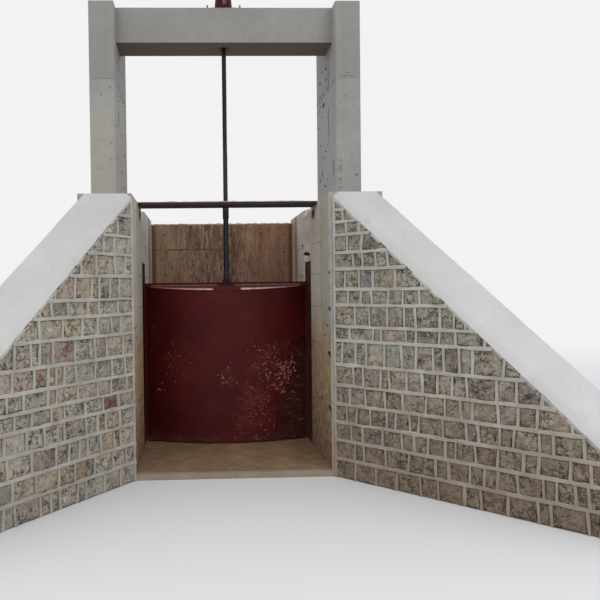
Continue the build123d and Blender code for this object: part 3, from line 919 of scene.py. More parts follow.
for wing in ("left_wing_wall", "right_wing_wall"):
    for outside in (False, True):
        print("masonry", wing, outside, layMasonry(wing, outside))


# Rounded arrises on the concrete and the iron, by the width of the rounding


softenedEdges = {
    0.008: ("abutment", "column", "top_beam", "breast_wall"),
    0.002: ("channel_floor", "walkway_plank", "hoist_plate", "gearbox_cover", "lifting_lug"),
}

for width, words in softenedEdges.items():
    for nodeName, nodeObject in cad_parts.items():
        if any(word in nodeName for word in words):
            bevel = nodeObject.modifiers.new("arris", "BEVEL")
            bevel.width = width
            bevel.segments = 2
            bevel.limit_method = "ANGLE"
            bevel.angle_limit = math.radians(40)
print("edges rounded")


# Trowelled coping on the wings


copingShape = {
    "step": 0.02,
    "feather": 0.075,
    "edge": 0.006,
    "outerRound": 0.014,
    "waviness": 0.007,
    "hollow": 0.0016,
    "toeBack": 0.003,
}


def copingSection(inner, outer, drop, inWave, outWave, y):
    # points over the coping from its inner edge to its outer one: (across, down from the top)
    shape = copingShape
    feather, rounding = shape["feather"], shape["outerRound"]
    section = [(inner + inWave + 0.003, drop - 0.001)]
    for k in range(7):
        rise = math.sin(math.pi / 2 * k / 6)
        section.append((inner + inWave + feather * k / 6, (drop - shape["edge"]) * (1 - rise)))
    for k in range(1, 12):
        across = inner + feather + inWave + (outer - inner - feather - rounding - inWave) * k / 12
        section.append((across, shape["hollow"] * (1 + noise.noise(Vector((across * 6, y * 4, 2))))))
    for k in range(4):
        turn = math.pi / 2 * k / 3
        section.append((outer - outWave - rounding * (1 - math.sin(turn)), rounding * (1 - math.cos(turn))))
    section.append((outer - outWave - 0.002, drop - 0.001))
    return section


def trowelledCoping(nodeName):
    # the solid's own strip with round, slightly wavy edges, everywhere inside it
    shape = copingShape
    sign = -1 if nodeName.startswith("left") else 1
    ends = []
    for y, here in (cornersAt(nodeName, max), cornersAt(nodeName, min)):
        xs, zs = [abs(p.x) for p in here], [p.z for p in here]
        ends.append((y, min(xs), max(xs), max(zs), max(zs) - min(zs)))
    head, toe = ends
    count = round((head[0] - toe[0]) / shape["step"])
    verts, faces = [], []
    for n in range(count + 1):
        y, inner, outer, top, thick = (a + (b - a) * (n / count) for a, b in zip(head, toe))
        if n == count:
            y += shape["toeBack"]
        seed = Vector((y * 3, 0, sign))
        inWave = shape["waviness"] * (0.6 + 0.5 * noise.noise(seed) + 0.8 * noise.noise(seed * 5))
        outWave = shape["waviness"] * (0.8 + 0.9 * noise.noise(seed + Vector((0, 9, 0))))
        section = copingSection(inner, outer, head[4], max(0.0, inWave), max(0.0, outWave), y)
        verts += [(sign * across, y, max(top - deep, top - thick + 0.0005)) for across, deep in section]
    tube(faces, 0, count + 1, len(section))
    name = nodeName.replace("coping", "trowelled_coping")
    coping = makePiece(name, (verts, faces), copingCement, "structure", 40)
    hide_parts(nodeName)


for nodeName in ("left_wing_coping", "right_wing_coping"):
    trowelledCoping(nodeName)
print("coping ready")


# Joins in the formwork, tie holes and dark marks


ahead = Vector((0, -1, 0))        # the way to the front

joinLooks = {"height": 4.305, "inset": 0.01, "ridgeWide": 0.009, "ridgeOut": 0.004}


def ridgeLine(heap, start, end, outward, wide, out, seed, step=0.03):
    # a thin raised line of cement paste, standing out along outward
    verts, faces = heap
    first = len(verts)
    count = max(2, round((end - start).length / step))
    points = [start.lerp(end, n / count) for n in range(count + 1)]
    for n, point in enumerate(points):
        run = (points[min(n + 1, count)] - points[max(n - 1, 0)]).normalized()
        side = run.cross(outward).normalized()
        swell = 1 + 0.6 * noise.noise(point * 14 + Vector((seed, 0, 0)))
        for across, up in ((-0.5, -0.3), (-0.25, 1.0), (0.25, 0.9), (0.5, -0.3)):
            verts.append(point + side * (across * wide * swell) + outward * (up * out * swell))
    tube(faces, first, count + 1, 4)


def innerSide(nodeName):
    # where the side towards the channel is, and which way it looks
    low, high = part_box(nodeName)
    return (high.x, Vector((1, 0, 0))) if nodeName.startswith("left") else (low.x, Vector((-1, 0, 0)))


def castJoins():
    heap = ([], [])
    looks = joinLooks
    inset, z = looks["inset"], looks["height"]
    size = (looks["ridgeWide"], looks["ridgeOut"])
    for number, nodeName in enumerate(("left_column", "right_column")):
        low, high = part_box(nodeName)
        inner, inward = innerSide(nodeName)
        start, end = (Vector((x, low.y, z)) for x in (low.x + inset, high.x - inset))
        ridgeLine(heap, start, end, ahead, *size, number)
        start, end = (Vector((inner, y, z)) for y in (low.y + inset, high.y - inset))
        ridgeLine(heap, start, end, inward, *size, number + 5)
    makePiece("column_join_ridges", heap, cleanConcrete, "structure", 60)


# places are (along, up) on the face in question; gouges add how large and how long they are
castMarks = {
    "tieRadius": 0.011,
    "tieDepth": 0.0012,
    "breastTies": [(-0.8, 2.68), (-0.46, 2.68), (0.55, 2.68), (0.85, 2.66), (-0.78, 2.43), (0.12, 2.44),
                   (0.86, 2.42), (-0.8, 2.12), (-0.42, 2.1), (0.5, 2.1), (0.84, 2.11)],
    "leftHoles": [(-0.25, 4.58), (-0.06, 4.56), (0.25, 4.59), (0.47, 4.6), (-0.19, 4.31), (-0.25, 4.19),
                  (-0.11, 4.17), (0.27, 4.37), (0.31, 4.27), (0.1, 4.27), (0.2, 4.18), (-0.39, 3.81),
                  (0.05, 3.8), (0.2, 3.79), (0.4, 3.62), (-0.3, 3.46), (-0.1, 3.42), (0.12, 3.36),
                  (0.3, 3.2)],
    "rightHoles": [(0.06, 4.6), (0.28, 4.63), (0.03, 4.46), (0.42, 4.53), (-0.02, 4.34), (0.23, 4.34),
                   (0.43, 4.36), (0.37, 4.22), (0.51, 4.2), (0.3, 4.08), (0.5, 3.98), (0.42, 3.74),
                   (-0.05, 3.66), (0.08, 3.6), (0.22, 3.55), (0.46, 3.3), (-0.02, 3.24), (0.14, 3.18),
                   (0.2, 3.02)],
    "frontHoles": [(-1.406, 4.12), (-1.304, 4.21), (-1.302, 3.58), (-1.31, 3.4), (-1.42, 3.3), (1.369, 4.11),
                   (1.3, 4.02), (1.43, 3.45), (1.36, 3.0), (1.48, 3.2)],
    "holeSize": (0.0125, 2.1),
    "nailRows": (2.43, 2.08, 1.72, 1.3),
    "nailPlaces": (-0.29, -0.43, -0.58, -0.77, 0.34, 0.52, 0.72),
    "nailSize": (0.0095, 2.1),
    "nailDrift": (0.02, 0.008),
    "nailShares": (0.7, 1.15),
    "holeShares": (0.8, 1.4),
    "frontShares": (0.35, 0.6),
    # the gouge at (-0.4, 2.79) is a painted shadow: a dark disc in the pocket under the plank's left end
    "gouges": [(-1.3, 2.08, 0.009, 3.0), (-1.3, 1.71, 0.013, 3.2), (-1.17, 1.53, 0.009, 3.0),
               (-1.0, 1.54, 0.007, 3.0), (-1.28, 1.25, 0.018, 3.4), (-0.84, 0.72, 0.013, 3.0),
               (-1.29, 0.69, 0.021, 2.8), (-0.58, 0.73, 0.01, 3.0), (-0.4, 2.79, 0.034, 2.2),
               (0.36, 2.46, 0.012, 3.0), (0.5, 2.07, 0.01, 3.0), (-1.06, 1.42, 0.008, 3.0)],
    "stainDepth": 0.0004,
}

# marks on the columns' sides: left or right, along, up, half height and how wide for that
tallMarks = [(-1, -0.17, 3.93, 0.1, 0.16), (1, 0.32, 3.36, 0.05, 0.3), (1, -0.36, 3.32, 0.09, 0.12),
             (1, -0.1, 3.9, 0.2, 0.05), (1, -0.1, 4.42, 0.18, 0.05), (1, 0.2, 4.2, 0.03, 1.8)]

# rough grey cement on the right column's front, with fields as left, right, low, high, how many and how slim
scabs = {
    "fields": [(1.33, 1.45, 4.322, 4.338, 10, 0.22), (1.37, 1.42, 4.36, 4.37, 4, 0.22),
               (1.275, 1.31, 2.95, 3.4, 24, 0.6), (1.46, 1.5, 3.2, 3.24, 4, 0.3)],
    "size": (0.008, 0.022),
    "out": (0.003, 0.005),
    "length": 1.4,
}


def disc(heap, centre, outward, radius, depth, sides=12, wide=1.0):
    verts, faces = heap
    across = Vector((0, 1, 0)) if abs(outward.x) > 0.5 else outward.orthogonal().normalized()
    other = outward.cross(across)
    first = len(verts)
    for height in (-depth, depth):
        for a, b in circle(sides):
            verts.append(centre + across * (radius * wide * a) + other * (radius * b) + outward * height)
    tube(faces, first, 2, sides)


def lump(heap, centre, size, seed):
    # a rough crumb of cement
    verts, faces = heap
    ball = bmesh.new()
    bmesh.ops.create_icosphere(ball, subdivisions=2, radius=1)
    first = len(verts)
    for vertex in ball.verts:
        push = 1 + 0.45 * noise.noise(vertex.co * 1.7 + Vector((seed, seed * 2, 0)))
        verts.append(centre + Vector([a * b for a, b in zip(vertex.co, size)]) * push)
    for face in ball.faces:
        faces.append([first + vertex.index for vertex in face.verts])
    ball.free()


def tieHoles():
    holes, stains, patches = ([], []), ([], []), ([], [])
    marks, depth = castMarks, castMarks["tieDepth"]
    for x, z in marks["breastTies"]:
        disc(holes, Vector((x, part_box("breast_wall")[0].y, z)), ahead, marks["tieRadius"], depth)
    rng = random.Random(3)
    radius, wide = marks["nailSize"]
    driftY, driftZ = marks["nailDrift"]
    for sign in (-1, 1):
        inner = abs(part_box("left_abutment")[1].x) * sign
        inward = Vector((-sign, 0, 0))
        for z in marks["nailRows"]:
            for y in marks["nailPlaces"]:
                place = Vector((inner, y + rng.uniform(-driftY, driftY), z + rng.uniform(-driftZ, driftZ)))
                disc(holes, place, inward, radius * rng.uniform(*marks["nailShares"]), depth, 8, wide)
        for y, z, size, long in marks["gouges"]:
            disc(holes, Vector((inner, y, z)), inward, size, depth * 1.5, 9, long)
            under = Vector((inner, y - 0.02, z - size * 0.6))
            disc(stains, under, inward, size * 1.7, marks["stainDepth"], 11, long * 0.8)
    radius, wide = marks["holeSize"]
    for nodeName, key in (("left_column", "leftHoles"), ("right_column", "rightHoles")):
        inner, inward = innerSide(nodeName)
        for y, z in marks[key]:
            size = radius * rng.uniform(*marks["holeShares"])
            disc(holes, Vector((inner, y, z)), inward, size, depth, 9, wide)
        for side, y, z, tall, slim in tallMarks:
            if side == -inward.x:
                disc(holes, Vector((inner, y, z)), inward, tall, depth, 12, slim)
    for x, z in marks["frontHoles"]:
        place = Vector((x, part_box("left_column")[0].y, z))
        disc(holes, place, ahead, radius * rng.uniform(*marks["frontShares"]), depth, 8)
    makePiece("tie_holes_and_shadow", holes, grit["holeAndShadowDark"], "structure")
    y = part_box("right_column")[0].y
    for left, right, low, high, count, slim in scabs["fields"]:
        for n in range(count):
            size = rng.uniform(*scabs["size"])
            place = Vector((rng.uniform(left, right), y, rng.uniform(low, high)))
            shape = (size * scabs["length"], rng.uniform(*scabs["out"]), size * slim)
            lump(patches, place, shape, n + 600)
    makePiece("column_scabs", patches, grit["scabCement"], "structure", 50)
    makePiece("tie_stains", stains, grit["tieStain"], "structure")


# Crumbs and lumps of cement


# how many, how far from the edges of a solid, and half the width, depth and height as (least, most)
crumbLooks = {
    "wall": {
        "count": 150,
        "along": 0.03,
        "back": (0.02, 0.14),
        "size": ((0.008, 0.034), (0.01, 0.03), (0.004, 0.013)),
    },
    "slot": {
        "count": 26,
        "along": 0.02,
        "front": (0.008, 0.036),
        "rear": (0.004, 0.012),
        "size": ((0.006, 0.02), (0.006, 0.012), (0.005, 0.02)),
    },
    "foot": {
        "count": 14,
        "ahead": (0.01, 0.12),
        "up": 0.003,
        "size": ((0.006, 0.02), (0.006, 0.018), (0.005, 0.013)),
    },
    "ridge": {"inset": 0.01, "down": 0.009, "wide": 0.016, "out": 0.004, "step": 0.02},
}

# lumps on the rear cheek of the right slot: down from the plank, up from the guide, and rusty ones on those
cheekLumps = [
    {
        "count": 11,
        "along": (0.0, 0.055),
        "rise": (-0.03, 0.055),
        "out": 0.008,
        "size": ((0.014, 0.026), (0.009, 0.013), (0.013, 0.024)),
        "seed": 400,
    },
    {
        "count": 10,
        "along": (0.01, 0.045),
        "rise": (0.0, 0.075),
        "out": 0.006,
        "size": ((0.014, 0.022), 0.012, (0.016, 0.028)),
        "seed": 420,
    },
    {
        "count": 9,
        "along": (-0.004, 0.055),
        "rise": (0.085, 0.118),
        "out": 0.006,
        "size": ((0.012, 0.02), 0.012, (0.01, 0.017)),
        "seed": 440,
    },
]


def drawn(rng, spans):
    # a number from each span, where a plain number stands for itself
    return [rng.uniform(*span) if isinstance(span, tuple) else span for span in spans]


def cementCrumbs():
    rng = random.Random(11)
    crumbs, pale, crust = ([], []), ([], []), ([], [])
    wallLow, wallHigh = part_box("breast_wall")
    looks = crumbLooks["wall"]
    for n in range(looks["count"]):
        x = rng.uniform(wallLow.x + looks["along"], wallHigh.x - looks["along"])
        size = drawn(rng, looks["size"])
        lump(crumbs, Vector((x, wallLow.y + rng.uniform(*looks["back"]), wallHigh.z)), size, n)
    looks = crumbLooks["slot"]
    for nodeName in ("left_guide_grout", "right_guide_grout"):
        low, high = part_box(nodeName)
        for n in range(looks["count"]):
            # in front of the leaf's way up or behind it
            front = [low.y + depth for depth in looks["front"]]
            y = rng.uniform(*front) if n % 2 else high.y - rng.uniform(*looks["rear"])
            x = rng.uniform(low.x + looks["along"], high.x - looks["along"])
            lump(crumbs, Vector((x, y, high.z)), drawn(rng, looks["size"]), n + 200)
    low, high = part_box("right_guide_grout")
    starts = ((pale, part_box("walkway_plank")[0].z, -1), (pale, high.z, 1), (crust, high.z, 1))
    for looks, (heap, z, way) in zip(cheekLumps, starts):
        for n in range(looks["count"]):
            x = low.x + rng.uniform(*looks["along"])
            place = Vector((x, high.y - looks["out"], z + way * rng.uniform(*looks["rise"])))
            lump(heap, place, drawn(rng, looks["size"]), n + looks["seed"])
    makePiece("slot_lumps", pale, grit["paleCement"], "structure", 50)
    makePiece("guide_crust", crust, grit["rustCrust"], "structure", 50)
    looks = crumbLooks["foot"]
    for nodeName in ("left_column", "right_column"):
        low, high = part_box(nodeName)
        for n in range(looks["count"]):
            x = rng.uniform(low.x, high.x)
            place = Vector((x, low.y - rng.uniform(*looks["ahead"]), low.z + looks["up"]))
            lump(crumbs, place, drawn(rng, looks["size"]), n + 300)
    looks = crumbLooks["ridge"]
    ends = (wallLow.x + looks["inset"], wallHigh.x - looks["inset"])
    start, end = (Vector((x, wallLow.y, wallHigh.z - looks["down"])) for x in ends)
    ridgeLine(crumbs, start, end, ahead, looks["wide"], looks["out"], 70, looks["step"])
    makePiece("cement_crumbs", crumbs, grit["crumbCement"], "structure", 50)


toppingLooks = {
    "count": 150,
    "front": 0.004,
    "ragged": 0.006,
    "deep": 0.2,
    "wander": 0.05,
    "thick": 0.007,
    "uneven": 0.006,
    "rough": 0.002,
    "sunk": 0.001,
}


def plankTopping():
    # spilt cement along the front of the plank
    looks = toppingLooks
    low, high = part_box("walkway_plank")
    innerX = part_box("right_abutment")[0].x
    rng = random.Random(5)
    verts, faces = [], []
    count = looks["count"]
    for n in range(count + 1):
        x = -innerX + 2 * innerX * n / count
        here = Vector((x * 9, 2.0, 0.0))
        front = low.y + looks["front"] + looks["ragged"] * abs(noise.noise(here * 2))
        back = low.y + looks["deep"] + looks["wander"] * noise.noise(here)
        thick = looks["thick"] + looks["uneven"] * noise.noise(here * 1.3 + Vector((4, 0, 0)))
        thick += rng.uniform(0, looks["rough"])
        foot, top = high.z - looks["sunk"], high.z + thick
        verts += [(x, front, foot), (x, front, top), (x, back, high.z + thick * 0.7), (x, back, foot)]
    tube(faces, 0, count + 1, 4)
    makePiece("plank_topping", (verts, faces), grit["crumbCement"], "structure", 50)


castJoins()
tieHoles()
cementCrumbs()
plankTopping()
print("marks and crumbs ready")


# Stem with its trapezoid thread


threadLooks = {
    "pitch": 0.012,
    "depth": 0.0045,
    "start": 3.55,
    "point": 0.004,
    "columns": 28,
    "shankCut": 0.0005,
}


def revolve(heap, centre, rings, sides):
    # a turned upright body from (height, radius) rings, closed at both ends
    verts, faces = heap
    first = len(verts)
    for z, radius in rings:
        for a, b in circle(sides):
            verts.append(Vector((centre.x + radius * a, centre.y + radius * b, z)))
    tube(faces, first, len(rings), sides)


def threadedStem():
    looks = threadLooks
    low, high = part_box("stem_upper")
    centre = (low + high) / 2
    pitch, start, columns = looks["pitch"], looks["start"], looks["columns"]
    top = high.z - looks["point"]
    crest = (high.x - low.x) / 2
    root, plain = crest - looks["depth"], crest - looks["shankCut"]
    levels = [(0.0, root), (0.34, root), (0.5, crest), (0.84, crest)]
    steps = len(levels)
    rows = (math.ceil((top - start) / pitch) + 1) * steps
    shell = bmesh.new()
    grid = {}
    for row in range(rows + steps):
        turn, level = divmod(row, steps)
        share, radius = levels[level]
        for column, (a, b) in enumerate(circle(columns)):
            z = start + pitch * (turn - 1 + share + column / columns)
            reach = radius if start < z < top else root
            place = (centre.x + reach * a, centre.y + reach * b, hold(z, start, top))
            grid[row, column] = shell.verts.new(place)
    for row in range(rows - 1):
        for column in range(columns):
            # the thread is one turn higher where its grid closes
            nextRow, nextColumn = (row, column + 1) if column + 1 < columns else (row + steps, 0)
            corners = [(row, column), (nextRow, nextColumn), (nextRow + 1, nextColumn), (row + 1, column)]
            shell.faces.new([grid[corner] for corner in corners])
    bmesh.ops.remove_doubles(shell, verts=shell.verts, dist=1e-5)
    bmesh.ops.dissolve_degenerate(shell, dist=1e-5, edges=shell.edges)
    loose = [vertex for vertex in shell.verts if not vertex.link_faces]
    bmesh.ops.delete(shell, geom=loose, context="VERTS")
    bmesh.ops.holes_fill(shell, edges=shell.edges, sides=0)
    shell.verts.index_update()
    verts = [vertex.co.copy() for vertex in shell.verts]
    heap = (verts, [[vertex.index for vertex in face.verts] for face in shell.faces])
    shell.free()
    # the plain shank below the thread, and the chamfered point above it
    revolve(heap, centre, [(low.z, plain), (start - 0.004, plain), (start + 0.001, root)], columns)
    revolve(heap, centre, [(top - 0.001, root), (high.z - 0.002, root), (high.z, root - 0.003)], columns)
    stem = makePiece("threaded_stem", heap, greasedSteel, "leaf", 35)
    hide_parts("stem_upper")


threadedStem()
print("stem ready")


# Bolts


boltLooks = {
    "plate": {"inset": 0.038, "across": 0.03, "height": 0.02, "shank": 0.035},
    "cover": {"count": 8, "first": 22.5, "radius": 0.125, "across": 0.016, "height": 0.009},
    "lug": {"places": (-0.125, -0.075, 0.075, 0.125), "up": 0.022, "across": 0.018, "height": 0.01},
}


def hexBolt(heap, looks, centre, outward):
    # a hexagon head with a chamfered top, on a washer, with a threaded end where shank is given
    verts, faces = heap
    axisA = outward.orthogonal().normalized()
    axisB = outward.cross(axisA)
    across, height, shank = looks["across"], looks["height"], looks.get("shank")
    corner, base = across / math.sqrt(3), across * 0.1
    top = base + height
    washer = [(across * 0.95, -0.001), (across * 0.95, base * 0.8), (across * 0.9, base)]
    head = [(corner, base - 0.0005), (corner, top - height * 0.18), (corner * 0.88, top)]
    parts = [(20, washer), (6, head)]
    if shank:
        tip = [(across * 0.3, top - 0.001), (across * 0.3, top + shank * 0.85), (across * 0.24, top + shank)]
        parts.append((14, tip))
    for sides, rings in parts:
        first = len(verts)
        for radius, level in rings:
            for a, b in circle(sides):
                verts.append(centre + axisA * (radius * a) + axisB * (radius * b) + outward * level)
        tube(faces, first, len(rings), sides)


def hoistBolts():
    heap = ([], [])
    up = Vector((0, 0, 1))
    low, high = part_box("hoist_plate")
    looks = boltLooks["plate"]
    for x in (low.x + looks["inset"], high.x - looks["inset"]):
        for y in (low.y + looks["inset"], high.y - looks["inset"]):
            hexBolt(heap, looks, Vector((x, y, high.z)), up)
    low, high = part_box("stem_upper")
    centreX, centreY = (low.x + high.x) / 2, (low.y + high.y) / 2
    looks = boltLooks["cover"]
    radius, z = looks["radius"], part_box("gearbox")[1].z
    for n in range(looks["count"]):
        turn = math.radians(360 / looks["count"] * n + looks["first"])
        place = Vector((centreX + radius * math.cos(turn), centreY + radius * math.sin(turn), z))
        hexBolt(heap, looks, place, up)
    makePiece("hoist_bolts", heap, metal["boltSteel"], "structure", 30)


def lugBolts():
    heap = ([], [])
    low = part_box("lifting_lug")[0]
    looks = boltLooks["lug"]
    for x in looks["places"]:
        hexBolt(heap, looks, Vector((x, low.y, low.z + looks["up"])), ahead)
    makePiece("lug_bolts", heap, fittingPaint, "leaf", 30)


hoistBolts()
lugBolts()
print("bolts ready")


# The leaf's painted highlight on its edge, the bead at the rail's foot and its dried silt


leafShape = {"fall": 0.055, "railHeight": 0.03, "railThick": 0.026}
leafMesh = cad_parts["leaf_casting"].data
leafSurface = BVHTree.FromPolygons([v.co for v in leafMesh.vertices], [p.vertices for p in leafMesh.polygons])
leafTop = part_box("leaf_casting")[1]        # the upper corner of its box


def leafFront(x, z):
    # how far to the front the leaf stands there
    return leafSurface.ray_cast(Vector((x, -1, z)), Vector((0, 1, 0)))[0].y


def addBead(heap, centres, sizes, sides=10):
    # a round bead along centres, with its half thickness at each
    verts, faces = heap
    first = len(verts)
    for centre, size in zip(centres, sizes):
        for a, b in circle(sides):
            verts.append(centre + Vector((0, -size * a, size * b)))
    tube(faces, first, len(centres), sides)


lipLooks = {
    "start": 0.166,
    "end": 0.93,
    "count": 56,
    "tall": {-1: (0.013, 0.004), 1: (0.0155, 0.0045)},
    "underLug": 0.005,
    "underCount": 20,
    "sunk": 0.006,
    "below": 0.004,
}


def lipBead():
    # the round edge of the cap, painted pale as a highlight, on both sides of the lug and thinner under it
    heap = ([], [])
    shape, looks = leafShape, lipLooks
    start, count = looks["start"], looks["count"]
    capTop = leafTop.z - shape["railHeight"]
    lowest = capTop - shape["fall"]
    slope = shape["fall"] / (leafTop.y - leafFront(0.2, lowest - looks["below"]))

    def lipPoint(x, tall):
        edge = leafFront(x, lowest - looks["below"])
        y = leafFront(x, capTop - (leafTop.y - edge) * slope - looks["below"])
        return Vector((x, y + tall * 0.75, capTop - (leafTop.y - y) * slope - looks["sunk"] + tall * 0.5))

    for sign, (wide, thin) in looks["tall"].items():
        shares = [n / count for n in range(count + 1)]
        sizes = [wide + (thin - wide) * share**0.8 for share in shares]
        xs = [sign * (start + (looks["end"] - start) * share) for share in shares]
        addBead(heap, [lipPoint(x, tall) for x, tall in zip(xs, sizes)], sizes)
    size, half = looks["underLug"], looks["underCount"] // 2
    xs = [start * (n / half - 1) for n in range(2 * half + 1)]
    addBead(heap, [lipPoint(x, size) - Vector((0, size, 0)) for x in xs], [size] * len(xs))
    makePiece("lip_bead", heap, lipHighlight, "leaf", 50)


railBeadLooks = {"start": 0.1, "length": 0.82, "count": 80, "thick": 0.0062, "uneven": 0.003, "sunk": 0.004}


def railFootBead():
    # a pale pinkish-brown bead along the foot of the rail on the leaf's top
    heap = ([], [])
    looks = railBeadLooks
    start, length, count = looks["start"], looks["length"], looks["count"]
    y = leafTop.y - leafShape["railThick"]
    foot = leafTop.z - leafShape["railHeight"] - looks["sunk"]
    for sign in (-1, 1):
        xs = [sign * (start + length * n / count) for n in range(count + 1)]
        sizes = [looks["thick"] + looks["uneven"] * noise.noise(Vector((x * 14, 0, sign))) for x in xs]
        centres = [Vector((x, y - size * 0.6, foot + size * 0.5)) for x, size in zip(xs, sizes)]
        addBead(heap, centres, sizes, 8)
    makePiece("rail_foot_bead", heap, grit["railFootBead"], "leaf", 50)


# dried silt on the leaf: centre across, centre up, half width, half height, how many, length, lean in degrees
splashLooks = {
    "fields": [
        (0.73, 0.92, 0.11, 0.13, 86, (0.018, 0.042), 34),
        (0.5, 0.98, 0.2, 0.22, 130, (0.012, 0.028), 40),
        (0.66, 0.72, 0.08, 0.07, 18, (0.024, 0.046), 30),
        (0.60, 1.22, 0.08, 0.06, 12, (0.010, 0.020), 50),
        (0.86, 1.12, 0.06, 0.14, 10, (0.014, 0.03), 60),
        (0.36, 0.60, 0.15, 0.18, 90, (0.009, 0.019), 25),
        (0.40, 0.30, 0.18, 0.2, 34, (0.012, 0.028), 15),
        (0.12, 0.32, 0.06, 0.24, 34, (0.010, 0.022), 20),
        (0.0, 0.85, 0.09, 0.14, 18, (0.012, 0.032), 62),
        (-0.6, 1.05, 0.15, 0.2, 16, (0.010, 0.026), 65),
        (-0.8, 0.7, 0.05, 0.06, 5, (0.02, 0.045), 48),
        (0.1, 1.2, 0.8, 0.6, 16, (0.006, 0.012), 30),
    ],
    "mudFields": [
        (0.84, 0.5, 0.14, 0.42, 60, (0.016, 0.05), 10),
        (0.78, 0.56, 0.14, 0.2, 9, (0.05, 0.1), -4),
        (0.93, 1.25, 0.04, 0.2, 14, (0.012, 0.03), 70),
        (-0.9, 1.4, 0.06, 0.2, 8, (0.012, 0.05), 10),
        (-0.5, 0.12, 0.4, 0.03, 16, (0.012, 0.05), 5),
        (0.5, 0.12, 0.45, 0.03, 22, (0.012, 0.05), 5),
    ],
    "layers": ((-0.002, 1.0), (0.0004, 1.0), (0.0016, 0.5)),
    "sides": 8,
    "reach": (-0.965, 0.965, 0.1, 1.86),
    "thinnest": 0.0022,
    "gather": 0.62,
    "farthest": 1.3,
    "turned": 26,
}


def siltSplashes(name, fields, material, seed, slimness):
    rng = random.Random(seed)
    verts, faces = [], []
    looks = splashLooks
    left, right, low, high = looks["reach"]
    corners, far = circle(looks["sides"]), looks["farthest"]
    for centreX, centreZ, halfWide, halfHigh, count, lengths, lean in fields:
        for n in range(count):
            x = hold(centreX + hold(rng.gauss(0, looks["gather"]), -far, far) * halfWide, left, right)
            z = hold(centreZ + hold(rng.gauss(0, looks["gather"]), -far, far) * halfHigh, low, high)
            half = rng.uniform(*lengths) / 2
            slim = max(looks["thinnest"], half * rng.uniform(*slimness))
            turn = math.radians(lean + rng.uniform(-looks["turned"], looks["turned"]))
            first = len(verts)
            for height, grow in looks["layers"]:
                for k, (cosine, sine) in enumerate(corners):
                    ragged = 1 + 0.3 * noise.noise(Vector((x * 40 + k, z * 40, 0)))
                    a = half * cosine * grow * ragged
                    b = slim * sine * grow * ragged
                    atX = x + a * math.cos(turn) - b * math.sin(turn)
                    atZ = z + a * math.sin(turn) + b * math.cos(turn)
                    verts.append((atX, leafFront(atX, atZ) - height, atZ))
            tube(faces, first, len(looks["layers"]), len(corners))
    makePiece(name, (verts, faces), material, "leaf", 60)


lipBead()
railFootBead()
siltSplashes("silt_splashes", splashLooks["fields"], grit["driedSilt"], 23, (0.2, 0.42))
siltSplashes("mud_streaks", splashLooks["mudFields"], grit["driedMud"], 24, (0.08, 0.2))
print("bead, dust and silt ready")


# Camera and light


cameraFit = {
    "place": (-0.338, -7.924, 1.933),
    "yaw": 1.83,
    "pitch": -1.075,
    "roll": 0.706,
    "focal": 650.0,
    "axisColumn": 219.4,
    "frameSize": 600.0,
    "sensor": 36.0,
    "seesTo": 600.0,
}


def setCamera(fit):
    yaw, pitch, roll = (math.radians(fit[key]) for key in ("yaw", "pitch", "roll"))
    forward = Vector((math.sin(yaw) * math.cos(pitch), math.cos(yaw) * math.cos(pitch), math.sin(pitch)))
    right = Vector((math.cos(yaw), -math.sin(yaw), 0))
    up = right.cross(forward)
    turnedRight = right * math.cos(roll) - up * math.sin(roll)
    turnedUp = up * math.cos(roll) + right * math.sin(roll)
    camera = addObject("camera", bpy.data.cameras.new("camera"))
    camera.data.sensor_width = fit["sensor"]
    camera.data.lens = fit["focal"] / fit["frameSize"] * fit["sensor"]
    camera.data.shift_x = (fit["frameSize"] / 2 - fit["axisColumn"]) / fit["frameSize"]
    camera.data.clip_end = fit["seesTo"]
    turn = Matrix((turnedRight, turnedUp, -forward)).transposed()
    camera.matrix_world = Matrix.Translation(fit["place"]) @ turn.to_4x4()
    bpy.context.scene.camera = camera


studio = {
    "floorHalf": 300.0,
    "floorDrop": 0.002,
    "backdrop": (0.89, 0.89, 0.89, 1.0),
    "floorSeen": (0.75, 0.75, 0.75, 1.0),
    "floorBounce": (0.46, 0.42, 0.38, 1.0),
    "floorFade": (5.0, 16.0),
    "skyLight": (0.9, 0.92, 0.95, 1.0),
    "skyStrength": 0.95,
    "softLamps": [
        {"place": (5.5, -10.0, 6.0), "aim": (0.0, 0.0, 1.8), "size": 6.0, "power": 265.0},
        {"place": (-5.5, -10.0, 6.0), "aim": (0.0, 0.0, 1.8), "size": 6.0, "power": 205.0},
    ],
}


def mixShaders(amount, first, second):
    node = addNode(amount, "ShaderNodeMixShader")
    for socket, value in zip(node.inputs, (amount, first, second)):
        feed(socket, value)
    return node.outputs[0]


def litOrSeen(tree, lit, seen, output):
    # rays from the camera, in mirrors and through glass meet seen, and all others meet lit
    path = addNode(tree, "ShaderNodeLightPath").outputs
    direct = larger(larger(path["Is Camera Ray"], path["Is Glossy Ray"]), path["Is Transmission Ray"])
    addNode(tree, output, {"Surface": mixShaders(direct, lit, seen)})


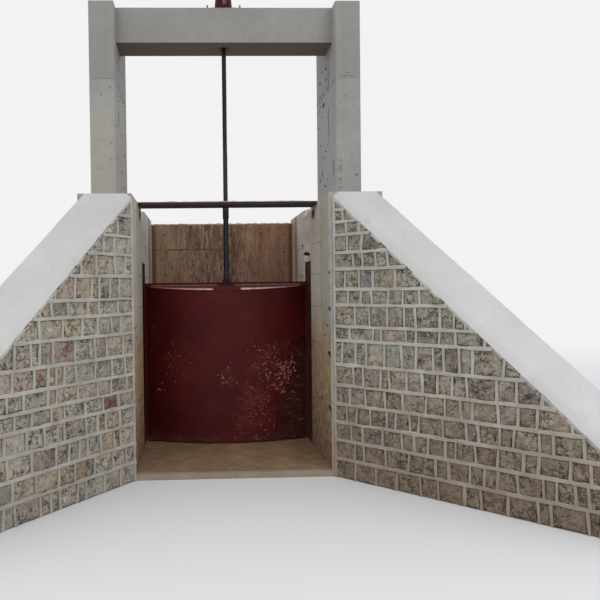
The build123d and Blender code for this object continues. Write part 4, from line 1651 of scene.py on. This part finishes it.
def makeFloor():
    half, z = studio["floorHalf"], -studio["floorDrop"]
    mesh = bpy.data.meshes.new("floor")
    corners = [(-half, -half, z), (half, -half, z), (half, half, z), (-half, half, z)]
    mesh.from_pydata(corners, [], [(0, 1, 2, 3)])
    floor = addObject("floor", mesh)
    material = bpy.data.materials.new("floor")
    material.use_nodes = True
    tree = material.node_tree
    tree.nodes.clear()
    # near the object the floor shows its shadow, and further out it fades into the backdrop
    near = addNode(tree, "ShaderNodeBsdfDiffuse", {"Color": studio["floorSeen"]}).outputs[0]
    bounce = addNode(tree, "ShaderNodeBsdfDiffuse", {"Color": studio["floorBounce"]}).outputs[0]
    far = addNode(tree, "ShaderNodeEmission", {"Color": studio["backdrop"]}).outputs[0]
    reach = addNode(tree, "ShaderNodeVectorMath")
    reach.operation = "LENGTH"
    feed(reach.inputs[0], addNode(tree, "ShaderNodeTexCoord").outputs["Object"])
    fade = mixShaders(spread(reach.outputs["Value"], *studio["floorFade"]), near, far)
    litOrSeen(tree, bounce, fade, "ShaderNodeOutputMaterial")
    mesh.materials.append(material)


def makeSky():
    world = bpy.data.worlds.new("overcast")
    world.use_nodes = True
    tree = world.node_tree
    tree.nodes.clear()
    values = {"Color": studio["skyLight"], "Strength": studio["skyStrength"]}
    light = addNode(tree, "ShaderNodeBackground", values).outputs[0]
    pale = addNode(tree, "ShaderNodeBackground", {"Color": studio["backdrop"]}).outputs[0]
    litOrSeen(tree, light, pale, "ShaderNodeOutputWorld")
    bpy.context.scene.world = world


def makeLamp(lamp):
    light = bpy.data.lights.new("softLamp", "AREA")
    light.energy = lamp["power"]
    light.size = lamp["size"]
    holder = addObject("softLamp", light)
    holder.location = lamp["place"]
    aim = Vector(lamp["aim"]) - Vector(lamp["place"])
    holder.rotation_euler = aim.to_track_quat("-Z", "Y").to_euler()


setCamera(cameraFit)
makeFloor()
makeSky()
for lamp in studio["softLamps"]:
    makeLamp(lamp)
bpy.context.scene.view_settings.view_transform = "Standard"
print("camera and light ready")
